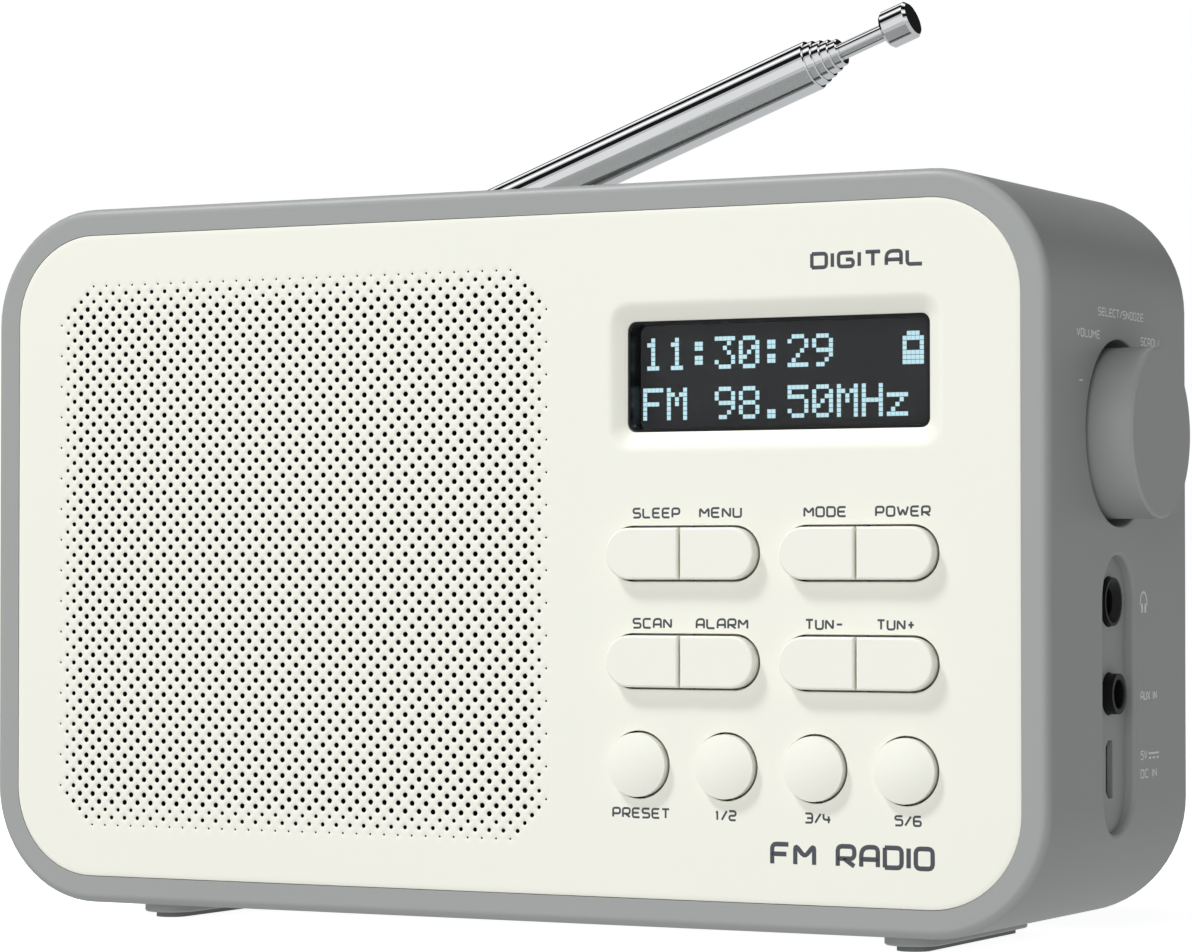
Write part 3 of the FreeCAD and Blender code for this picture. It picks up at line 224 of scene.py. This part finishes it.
finishes = {
    "case_grey": plastic("grey moulding", (0.338, 0.352, 0.342), 0.42, depth=0.000012, scale=3000),
    "panel_cream": plastic("cream moulding", (0.86, 0.86, 0.775), 0.38, drift=0.015, depth=0.000004,
                           scale=3400),
    "foot_rubber": plastic("rubber", (0.16, 0.165, 0.165), 0.75, scale=1800, depth=0.00002),
    "black_plastic": plastic("black moulding", (0.006, 0.006, 0.006), 0.45, depth=0.000006,
                             Specular_IOR_Level=0.25),
    "clear_window": clearPlastic("clear window"),
    # the display glass glows faintly: painted light standing in for the light that the clear window keeps off
    # it
    "lcd_glass": glowing("display glass with painted glow", (0.95, 0.97, 1), 0.017, (0.012, 0.012, 0.013)),
    "light_guide": plastic("light guide", (0.75, 0.8, 0.82), 0.3),
    "board_green": plastic("green board", (0.02, 0.11, 0.045), 0.35, drift=0.2, scale=900, depth=0.00003),
    "zinc_steel": metal("zinc plate", (0.62, 0.62, 0.6), 0.28, spread=0.2),
    "socket_steel": metal("tinned shell", (0.5, 0.5, 0.5), 0.35, spread=0.2),
    "black_steel": plastic("painted steel", (0.012, 0.012, 0.013), 0.35, scale=1500, depth=0.00002),
    "ribbon_film": plastic("ribbon film", (0.62, 0.5, 0.3), 0.35, drift=0.1),
    "grille_fabric": wovenCloth("grille cloth"),
    "foam_black": plastic("black foam", (0.014, 0.014, 0.014), 0.9, scale=900, depth=0.0001),
    "paper_cone": plastic("pulp cone", (0.022, 0.021, 0.02), 0.85, drift=0.3, scale=1200, depth=0.00006),
    "magnet_grey": plastic("ferrite", (0.06, 0.06, 0.062), 0.55, drift=0.2, scale=1400, depth=0.00003),
    "antenna_chrome": metal("bright chrome", (0.88, 0.89, 0.9), 0.012, spread=0.004, scale=60),
    "bush_brass": metal("brass", (0.75, 0.55, 0.28), 0.25, spread=0.15),
    "cell_wrap": plastic("cell wrap", (0.03, 0.09, 0.22), 0.3, drift=0.1),
}
inkDark = plastic("dark ink", (0.062, 0.07, 0.082), 0.5, drift=0.08, depth=0.000002)
inkLight = plastic("light ink", (0.80, 0.81, 0.83), 0.5, drift=0.08, depth=0.000002)
dotGlow = glowing("lit dot", (0.52, 0.76, 0.83), 1.0, (0.05, 0.08, 0.09))

for part in frame["record"]["subparts"]:
    thing = frame["nodes"][part["node"]]
    for entry in thing.material_slots:
        entry.material = finishes[part["material_slot"]]
print("materials set on", len(frame["nodes"]), "parts")


# mesh helpers

def finishPiece(name, bm, material, slot, body, *nodes, sharp=40):
    bmesh.ops.recalc_face_normals(bm, faces=bm.faces)
    bm.transform(toFrame)
    mesh = bpy.data.meshes.new(name)
    bm.to_mesh(mesh)
    bm.free()
    mesh.materials.append(material)
    mesh.shade_smooth()
    mesh.set_sharp_from_angle(angle=math.radians(sharp))
    piece = bpy.data.objects.new(name, mesh)
    bpy.context.scene.collection.objects.link(piece)
    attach(piece, body)
    if nodes:
        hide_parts(*nodes)
    print("made", name, len(mesh.polygons), "faces")
    return piece


def boundary(bm, depth=None):
    # the open edges, all of them or those at one depth
    return [e for e in bm.edges if len(e.link_faces) < 2
            and (depth is None or all(abs(v.co.z + depth) < 0.001 for v in e.verts))]


def roundedLoop(bm, width, height, radius, segments, x, y, depth):
    # a loop of edges: a rectangle whose corners are rounded
    place = Matrix.Translation((x, y, -depth)) @ Matrix.Diagonal((width, height, 1, 1))
    corners = bmesh.ops.create_grid(bm, x_segments=1, y_segments=1, size=0.5, matrix=place)["verts"]
    before = set(bm.faces) - {f for v in corners for f in v.link_faces}
    bmesh.ops.bevel(bm, geom=corners, offset=radius, offset_type="OFFSET", affect="VERTICES",
                    segments=segments, profile=0.5, material=-1, clamp_overlap=False)
    face = [f for f in bm.faces if f not in before]
    edges = [e for f in face for e in f.edges]
    bmesh.ops.delete(bm, geom=face, context="FACES_ONLY")
    return edges


def sleeve(bm, rings, shadePainted=False):
    # walls through rings of (width, height, radius, depth); gives the first and the last loop. For the button
    # openings the deepest walls get the black second slot as painted shade
    loops = [roundedLoop(bm, *ring) for ring in rings]
    for near, far in zip(loops, loops[1:]):
        walls = bmesh.ops.bridge_loops(bm, edges=near + far)["faces"]
        # the deepest walls of an opening get the black second slot: painted shade
        for wall in walls if shadePainted and far is loops[-1] else ():
            wall.material_index = 1
    return loops[0], loops[-1]


# front panel with its perforations, display rim and button openings

panel = {
    "width": 152.4, "height": 90.0, "round": 12.4, "thick": 2.2, "edge": 0.15,
    "grilleX": -30.03, "pitch": 1.081, "hole": 0.375, "dimple": 0.6, "dimpleDeep": 0.16, "sides": 10,
    "rimX": 41.94, "rimZ": 23.2,
    "pillsX": (29.18, 54.18), "pillsZ": (0, -14.05), "pillLong": 22, "pillTall": 7.3,
    # the next line ends with the depth below which the button openings' walls are painted black as shade
    "roundsX": (22.7, 35.35, 48.0, 60.65), "roundsZ": -27.55, "roundAcross": 8.9, "lip": 0.08, "paintedShadeFrom": 0.2,
    "leastDish": 0.05, "flatBorder": 0.75,
}
# the rim round the display: width, height, corner radius and depth, from the face inwards
rim = ((48.5, 20.7, 3.6, 0), (47.7, 19.95, 3.2, 0), (47.5, 19.72, 3.1, 0.01), (47.1, 19.25, 2.9, 0.05),
       (46.6, 18.7, 2.7, 0.14), (45.9, 17.9, 2.4, 0.32), (44.9, 16.75, 2.0, 0.62), (43.9, 15.6, 1.6, 0.93),
       (43.25, 14.85, 1.3, 1.14), (43.0, 14.56, 1.2, 1.25), (43.0, 14.56, 1.2, 2.2))


def holeTile(size):
    # one diamond of the panel with its hole and the small dish round it; the wall below the dish is painted
    # black as shade inside the hole
    bm = bmesh.new()
    pitch, sides = panel["pitch"], panel["sides"]
    bmesh.ops.create_circle(bm, segments=4, radius=pitch)
    wide = panel["dimple"] * size + panel["leastDish"] * (1 - size)
    dish = bmesh.ops.create_circle(bm, segments=sides, radius=wide)["verts"]
    bmesh.ops.triangle_fill(bm, edges=bm.edges[:], use_beauty=True)
    ring = [e for e in bm.edges if all(v in dish for v in e.verts) and len(e.link_faces) == 1]
    # slot 1 paints the hole wall below the dish black: painted shade inside the hole
    for shade, depth in ((0, panel["dimpleDeep"] * size), (1, panel["thick"])):
        radius = panel["hole"] * size
        now = bmesh.ops.extrude_edge_only(bm, edges=ring)["geom"]
        for wall in {f for g in now if isinstance(g, bmesh.types.BMEdge) for f in g.link_faces}:
            wall.material_index = shade
        ring = [g for g in now if isinstance(g, bmesh.types.BMEdge)]
        for vert in {v for e in ring for v in e.verts}:
            flat = vert.co.xy.normalized() * radius
            vert.co = (flat.x, flat.y, -depth)
    rear = Matrix.Translation((0, 0, -panel["thick"]))
    back = bmesh.ops.create_circle(bm, segments=4, radius=pitch, matrix=rear)["verts"]
    outer = list({e for v in back for e in v.link_edges})
    bmesh.ops.triangle_fill(bm, edges=ring + outer, use_beauty=True)
    mesh = bpy.data.meshes.new("tile")
    bm.to_mesh(mesh)
    bm.free()
    return mesh


def holeSize(u, v):
    # how large the hole is at this place of the pattern; 0 where there is none
    u, v = abs(u), abs(v)
    widest = {35: 31, 34: 32, 33: 33, 32: 34, 31: 35}.get(v, 35 if v % 2 else 34)
    if u == 36 and v % 4 == 2 and v < 31:
        return 0.4
    if (u + v) % 2 or u > widest or v > 35:
        return 0
    if v == 35:
        return 0.4
    return min({34: 0.85, 35: 0.72}.get(u, 1), {34: 0.8, 33: 0.75}.get(v, 1))


def makePanel():
    bm = bmesh.new()
    tiles = {}
    for v in range(-35, 36):
        for u in range(-36, 37):
            size = holeSize(u, v)
            if size:
                if size not in tiles:
                    tiles[size] = holeTile(size)
                tile = tiles[size]
                step = Matrix.Translation((panel["grilleX"] + u * panel["pitch"], v * panel["pitch"], 0))
                tile.transform(step)
                bm.from_mesh(tile)
                tile.transform(step.inverted())
    for tile in tiles.values():
        bpy.data.meshes.remove(tile)
    bmesh.ops.remove_doubles(bm, verts=bm.verts, dist=0.01)
    front, back = boundary(bm, 0), boundary(bm, panel["thick"])
    plain = [[(*ring[:3], 8, panel["rimX"], panel["rimZ"], ring[3]) for ring in rim]]
    thick, lip = panel["thick"], panel["lip"]
    # the opening walls deeper than the third step are painted black as painted shade
    steps = ((lip, 0), (0, lip), (0, panel["paintedShadeFrom"]), (0, thick))  # how far out and how deep
    openings = []
    for x in panel["pillsX"]:
        for z in panel["pillsZ"]:
            openings.append([(panel["pillLong"] + 2 * grow, panel["pillTall"] + 2 * grow,
                              panel["pillTall"] / 2 + grow - 0.02, 14, x, z, depth) for grow, depth in steps])
    across = panel["roundAcross"]
    for x in panel["roundsX"]:
        openings.append([(across + 2 * grow, across + 2 * grow, across / 2 + grow - 0.01, 10, x,
                          panel["roundsZ"], depth) for grow, depth in steps])
    edge = panel["edge"]
    turned = ((panel["flatBorder"], 0), (edge, 0), (edge * 0.3, edge * 0.3), (0, edge), (0, thick))
    plain.append([(panel["width"] - 2 * less, panel["height"] - 2 * less, panel["round"] - less, 16, 0, 0,
                   depth) for less, depth in turned])
    # the order of the walls: rim, openings, outline
    for rings in (plain[0], *openings, plain[1]):
        first, last = sleeve(bm, rings, shadePainted=rings in openings)
        front += first
        back += last
    for edges in (front, back):
        bmesh.ops.triangle_fill(bm, edges=edges, use_beauty=True)
    bm.transform(faceFront)
    moulding = finishPiece("front_panel_moulding", bm, finishes["panel_cream"], "panel_cream", "case",
                           "front_panel")
    moulding.data.materials.append(finishes["black_plastic"])  # painted shade: the black second slot on the deep walls of the holes and the button openings


makePanel()


# lettering: strokes on an 8 by 8 grid, one line of points for each stroke

letters = {
    "A": "00 06 28 88 80,03 83", "C": "88 08 00 80", "D": "08 88 80 00,00 08", "E": "88 08 00 80,04 74",
    "F": "88 08 00,04 74", "G": "88 08 00 80 84 44", "I": "48 40", "L": "08 00 80", "M": "00 08 43 88 80",
    "N": "00 08 80 88", "O": "08 88 80 00 08", "P": "00 08 88 83 03", "R": "00 08 88 83 03,33 80",
    "S": "88 08 04 84 80 00", "T": "08 88,48 40", "U": "08 00 80 88", "V": "08 40 88", "W": "08 20 46 60 88",
    "X": "08 80,00 88", "Z": "08 88 00 80", "1": "26 48 40", "2": "08 88 84 04 00 80",
    "3": "08 88 80 00,24 84", "4": "08 03 83,66 60", "5": "88 08 05 85 80 00", "6": "88 08 00 80 84 04",
    "/": "00 88", "+": "14 74,41 47", "-": "14 74", " ": "",
}
narrow = {"I": 0.01, "1": 0.6, " ": 0.6, "W": 1.35, "M": 1.15, "/": 0.8}
lettering = {"stroke": 0.22, "round": 0.3, "gap": 0.42, "thick": 0.03}


def strokeLine(spline, points, soft):
    # points of a line, with two at each corner so that it turns softly
    closed = points[0] == points[-1]
    knots = []
    ring = points[:-1] if closed else points
    for number, here in enumerate(ring):
        if not closed and number in (0, len(ring) - 1):
            knots.append((here, here, here))
            continue
        before, after = ring[number - 1], ring[(number + 1) % len(ring)]
        for other, first in ((before, True), (after, False)):
            run = other - here
            at = here + run * min(soft / run.length, 0.45)
            inner = at.lerp(here, 0.6)
            knots.append((at, at if first else inner, inner if first else at))
    spline.bezier_points.add(len(knots) - 1)
    for knot, (at, left, right) in zip(spline.bezier_points, knots):
        knot.co, knot.handle_left, knot.handle_right = at, left, right
    spline.use_cyclic_u = closed


def drawWords(name, words, turn, material, slot, bold=1):
    # words are (text, left, right, bottom, height); each is fitted between left and right
    curve = bpy.data.curves.new(name, "CURVE")
    curve.dimensions = "3D"
    curve.resolution_u = 3
    curve.bevel_depth = lettering["stroke"] * bold / 2
    curve.bevel_resolution = 1
    curve.use_fill_caps = True
    for text, left, right, low, height in words:
        gap = lettering["gap"]
        widths = [narrow.get(letter, 1) for letter in text]
        scale = (right - left) / (sum(widths) + gap * (len(text) - 1))
        at = left
        for letter, width in zip(text, widths):
            for line in filter(None, letters[letter].split(",")):
                points = [Vector((at + (int(pair[0]) / 8 - (0.5 if letter == "I" else 0)) * width * scale,
                                  low + int(pair[1]) / 8 * height, 0)) for pair in line.split()]
                spline = curve.splines.new("BEZIER")
                strokeLine(spline, points, lettering["round"] * height / 1.3)
            at += (width + gap) * scale
    mesh = bpy.data.meshes.new_from_object(bpy.data.objects.new(name, curve))
    bm = bmesh.new()
    bm.from_mesh(mesh)
    bmesh.ops.scale(bm, vec=(1, 1, 2 * lettering["thick"] / (lettering["stroke"] * bold)), verts=bm.verts)
    bm.transform(turn)
    finishPiece(name, bm, material, slot, "case", sharp=60)


frontWords = [(text, left, right, low, 1.16) for low, row in (
    (4.72, (("SLEEP", 21.9, 28.6), ("MENU", 31.6, 37.5), ("MODE", 46.5, 52.3), ("POWER", 56.5, 63.9))),
    (-9.68, (("SCAN", 21.9, 27.4), ("ALARM", 31.1, 38.4), ("TUN-", 46.7, 51.9), ("TUN+", 56.7, 61.8))),
    (-34.43, (("PRESET", 18.9, 27.1), ("1/2", 33.8, 36.7), ("3/4", 46.6, 50.1), ("5/6", 59.1, 62.6)))
) for text, left, right in row]
drawWords("panel_lettering", frontWords, faceFront, inkDark, "black_plastic", bold=1.3)
drawWords("panel_heading", [("DIGITAL", 47.6, 62.9, 36.6, 1.75)], faceFront, inkDark, "black_plastic",
          bold=2.3)
drawWords("panel_title", [("FM RADIO", 41.9, 64.2, -39.8, 2.5)], faceFront, inkDark, "black_plastic",
          bold=2.8)
# on the side, X of a drawing is the distance to the rear
onSide = Matrix.Translation((80, 0, 0)) @ faceRight
sideWords = [
    ("SELECT/SNOOZE", 17.4, 33.9, 30.6, 0.95), ("VOLUME", 9.75, 17.8, 27.57, 0.95),
    ("SCROLL", 33.1, 40.75, 27.5, 0.95), ("-", 10.25, 11.9, 21.45, 1.0),
    ("AUX IN", 32.65, 38.65, -19.15, 1.0), ("5V", 32.6, 34.9, -27.0, 1.05), ("DC IN", 32.6, 38.6, -29.4, 1.0),
]
drawWords("side_lettering", sideWords, onSide, inkLight, "black_plastic", bold=0.8)


# the marks beside the sockets, as bars of (rearwards, up, width, height), and the headphones' band
signs = {
    "bars": ((37.5, -26.3, 3.9, 0.24), (36.05, -26.9, 0.8, 0.24), (37.5, -26.9, 0.8, 0.24),
             (38.95, -26.9, 0.8, 0.24), (33.2, -7.15, 0.55, 1.25), (34.45, -7.15, 0.55, 1.25)),
    "soft": 0.3, "bandAt": (33.82, -6.75, 0), "bandReach": 1.15, "bandWire": 0.09,
    "bandSize": (1.15, 1.5, 0.5),
}


def makeSideSigns():
    bm = bmesh.new()
    for x, y, width, tall in signs["bars"]:
        place = Matrix.Translation((x, y, 0)) @ Matrix.Diagonal((width, tall, lettering["thick"] * 2, 1))
        cube = bmesh.ops.create_cube(bm, size=1, matrix=place)["verts"]
        edges = {e for v in cube for e in v.link_edges}
        upright = [e for e in edges if abs(e.verts[0].co.z - e.verts[1].co.z) > 0.01]
        bmesh.ops.bevel(bm, geom=upright, offset=min(width, tall) * signs["soft"], offset_type="OFFSET",
                        affect="EDGES", segments=2, profile=0.5, material=-1)
    bars = set(bm.verts)
    wire = Matrix.Translation((signs["bandReach"], 0, 0)) @ Matrix.Rotation(math.radians(90), 4, "X")
    ring = bmesh.ops.create_circle(bm, segments=4, radius=signs["bandWire"], matrix=wire)["verts"]
    edges = list({e for v in ring for e in v.link_edges})
    bmesh.ops.spin(bm, geom=edges + ring, cent=(0, 0, 0), axis=(0, 0, 1), angle=math.radians(180), steps=14,
                   use_merge=False)
    bmesh.ops.holes_fill(bm, edges=[e for e in bm.edges if e.is_boundary], sides=4)
    place = Matrix.Translation(signs["bandAt"]) @ Matrix.Diagonal((*signs["bandSize"], 1))
    bmesh.ops.transform(bm, matrix=place, verts=[v for v in bm.verts if v not in bars])
    bm.transform(onSide)
    finishPiece("side_signs", bm, inkLight, "black_plastic", "case")


makeSideSigns()


# display: dot characters behind the window

display = {"left": 21.42, "pitchX": 0.595, "pitchZ": 0.615, "dot": 0.545, "step": 3.5, "topRow": 28.13,
           "rowDrop": 6.59, "face": 4.4, "proud": 0.04}
dotLetters = {
    "0": "0e 11 13 15 19 11 0e", "1": "04 0c 04 04 04 04 0e", "2": "0e 11 01 02 04 08 1f",
    "3": "1f 02 04 02 01 11 0e", "5": "1f 10 1e 01 01 11 0e", "8": "0e 11 11 0e 11 11 0e",
    "9": "0e 11 11 0f 01 02 0c", ":": "00 0c 0c 00 0c 0c 00", ".": "00 00 00 00 00 0c 0c",
    "F": "1f 10 10 1e 10 10 10", "M": "11 1b 15 15 11 11 11", "H": "11 11 11 1f 11 11 11",
    "z": "00 00 1f 02 04 08 1f", "=": "0e 1f 11 11 1f 1f 1f", " ": "00 00 00 00 00 00 00",
}
# text, first column and row
rows = (("11:30:29", 0, 0), ("=", 10.63, 0), ("FM 98.50MHz", 0, 1))


def makeDots():
    bm = bmesh.new()
    for text, start, row in rows:
        for column, letter in enumerate(text):
            for line, bits in enumerate(int(code, 16) for code in dotLetters[letter].split()):
                for bit in range(5):
                    if bits >> (4 - bit) & 1:
                        place = Matrix.Translation((
                            display["left"] + (start + column) * display["step"] + bit * display["pitchX"],
                            display["topRow"] - row * display["rowDrop"] - line * display["pitchZ"],
                            -display["face"]))
                        size = Matrix.Diagonal((display["dot"], display["dot"], 2 * display["proud"], 1))
                        bmesh.ops.create_cube(bm, size=1, matrix=place @ size)
    bm.transform(faceFront)
    finishPiece("display_dots", bm, dotGlow, "lcd_glass", "case")


makeDots()


# studio

camera = {"place": (265.15, -474.95, -2.53), "right": (0.8858, 0.4640, 0.0),
          "forward": (-0.4639, 0.8856, 0.0238), "lens": 123.08}
studio = {"world": 0.2, "floor": 0.9, "floorGlow": 0.8, "bounce": 0.62, "sky": 0.56,
          "floorRadius": 6, "skyRadius": 7, "backdropRadius": 8, "bounceDrop": 0.002}
# where the antenna lies, in millimetres, and how far from it the cards stand, in metres
antenna = {"lean": 20.2, "middle": (0, 46.8, 58), "reach": 1.5, "cardLong": 10}
# the dark board that the flat ends of the antenna tubes reflect
endCard = {"towards": (0.283, 0.883, 0.3725), "away": 3, "radius": 0.55, "bright": 0.012}
# long cards that only the bright metal reflects: angle about the antenna, spread and brightness
cards = ((148, 24, 0.01), (103, 20, 0.005), (55, 22, 0.01), (79, 12, 1.2), (126, 14, 1.1), (15, 36, 0.8))
lamps = (
    # name, place, aim, size, watts and whether it shows in reflections; metres in the frame of the model
    ("key", (-1.03, -1.03, 2.2), (0, 0, 0.06), (0.45, 0.45), 43, True),
    ("soft_front", (0.18, -2.2, 0.35), (0, 0, 0.06), (1.6, 1.6), 30, False),
)


def addCamera():
    data = bpy.data.cameras.new("camera")
    data.lens = camera["lens"]
    data.sensor_width = 36
    data.clip_start = 0.01
    eye = bpy.data.objects.new("camera", data)
    bpy.context.scene.collection.objects.link(eye)
    forward, right = Vector(camera["forward"]).normalized(), Vector(camera["right"]).normalized()
    up = right.cross(forward)
    turn = Matrix((right, up, -forward)).transposed()
    eye.matrix_world = Matrix.LocRotScale(toFrame @ Vector(camera["place"]), turn, None)
    bpy.context.scene.camera = eye


def addLamp(name, place, aim, size, power, mirrored):
    data = bpy.data.lights.new(name, "AREA")
    data.shape = "RECTANGLE"
    data.size, data.size_y = size
    data.energy = power
    lamp = bpy.data.objects.new(name, data)
    bpy.context.scene.collection.objects.link(lamp)
    lamp.location = place
    lamp.visible_glossy = mirrored
    lamp.rotation_euler = (Vector(aim) - Vector(place)).to_track_quat("-Z", "Y").to_euler()


def addStage(name, bm, material, seen):
    mesh = bpy.data.meshes.new(name)
    bm.to_mesh(mesh)
    bm.free()
    mesh.materials.append(material)
    thing = bpy.data.objects.new(name, mesh)
    bpy.context.scene.collection.objects.link(thing)
    for ray in ("camera", "diffuse", "glossy", "shadow", "transmission"):
        setattr(thing, "visible_" + ray, ray in seen)


def lightMaterial(name, colour, strength, sampling="NONE"):
    material = newMaterial(name, {"Base Color": (0, 0, 0, 1), "Specular IOR Level": 0,
                                  "Emission Color": (*colour, 1), "Emission Strength": strength})[0]
    material.cycles.emission_sampling = sampling
    return material


def addCard(name, angle, spread, bright):
    # a strip along the antenna's own direction, at this angle about it
    lean = math.radians(antenna["lean"])
    along = Vector((math.cos(lean), 0, math.sin(lean)))
    ahead, up = Vector((0, -1, 0)), Vector((-math.sin(lean), 0, math.cos(lean)))
    away = math.cos(math.radians(angle)) * ahead + math.sin(math.radians(angle)) * up
    turn = Matrix((along, away.cross(along), away)).transposed().to_4x4()
    reach = antenna["reach"]
    place = Matrix.Translation(toFrame @ Vector(antenna["middle"]) + away * reach) @ turn
    bm = bmesh.new()
    wide = 2 * reach * math.tan(math.radians(spread) / 2)
    bmesh.ops.create_grid(bm, x_segments=1, y_segments=1, size=0.5,
                          matrix=place @ Matrix.Diagonal((antenna["cardLong"], wide, 1, 1)))
    addStage(name, bm, lightMaterial(name, (1, 1, 1), bright), ("glossy",))


def addEndCard():
    away = Vector(endCard["towards"]).normalized()
    place = Matrix.Translation(away * endCard["away"]) @ away.to_track_quat("Z", "Y").to_matrix().to_4x4()
    bm = bmesh.new()
    bmesh.ops.create_circle(bm, cap_ends=True, segments=32, radius=endCard["radius"], matrix=place)
    addStage("end_card", bm, lightMaterial("end card", (1, 1, 1), endCard["bright"]), ("glossy",))


def addDisc(name, drop, material, seen):
    bm = bmesh.new()
    bmesh.ops.create_circle(bm, cap_ends=True, segments=64, radius=studio["floorRadius"],
                            matrix=Matrix.Translation((0, 0, -drop)))
    addStage(name, bm, material, seen)


def addDome(name, radius, material, seen):
    bm = bmesh.new()
    bmesh.ops.create_icosphere(bm, subdivisions=3, radius=radius)
    bmesh.ops.reverse_faces(bm, faces=bm.faces)
    addStage(name, bm, material, seen)


def makeStudio():
    scene = bpy.context.scene
    scene.view_settings.view_transform = "Standard"
    world = bpy.data.worlds.new("world")
    scene.world = world
    world.use_nodes = True
    background = world.node_tree.nodes["Background"]
    background.inputs["Color"].default_value = (0.97, 0.985, 1, 1)
    background.inputs["Strength"].default_value = studio["world"]
    floorSkin = newMaterial("pale floor", {
        "Base Color": (studio["floor"],) * 3 + (1,), "Roughness": 0.9, "Specular IOR Level": 0.1,
        "Emission Color": (1, 1, 1, 1), "Emission Strength": studio["floorGlow"]})[0]
    addDisc("floor", 0, floorSkin, ("camera", "shadow", "transmission"))
    bounce = lightMaterial("floor bounce", (1, 1, 1), studio["bounce"], "AUTO")
    addDisc("bounce", studio["bounceDrop"], bounce, ("diffuse",))
    sky = lightMaterial("reflected sky", (0.97, 0.985, 1), studio["sky"])
    addDome("reflected_sky", studio["skyRadius"], sky, ("glossy",))
    for number, (angle, spread, bright) in enumerate(cards):
        addCard(f"card_{number}", angle, spread, bright)
    addEndCard()
    addDome("backdrop", studio["backdropRadius"], lightMaterial("white backdrop", (1, 1, 1), 1), ("camera",))
    for lamp in lamps:
        addLamp(*lamp)


addCamera()
makeStudio()
print("studio ready")
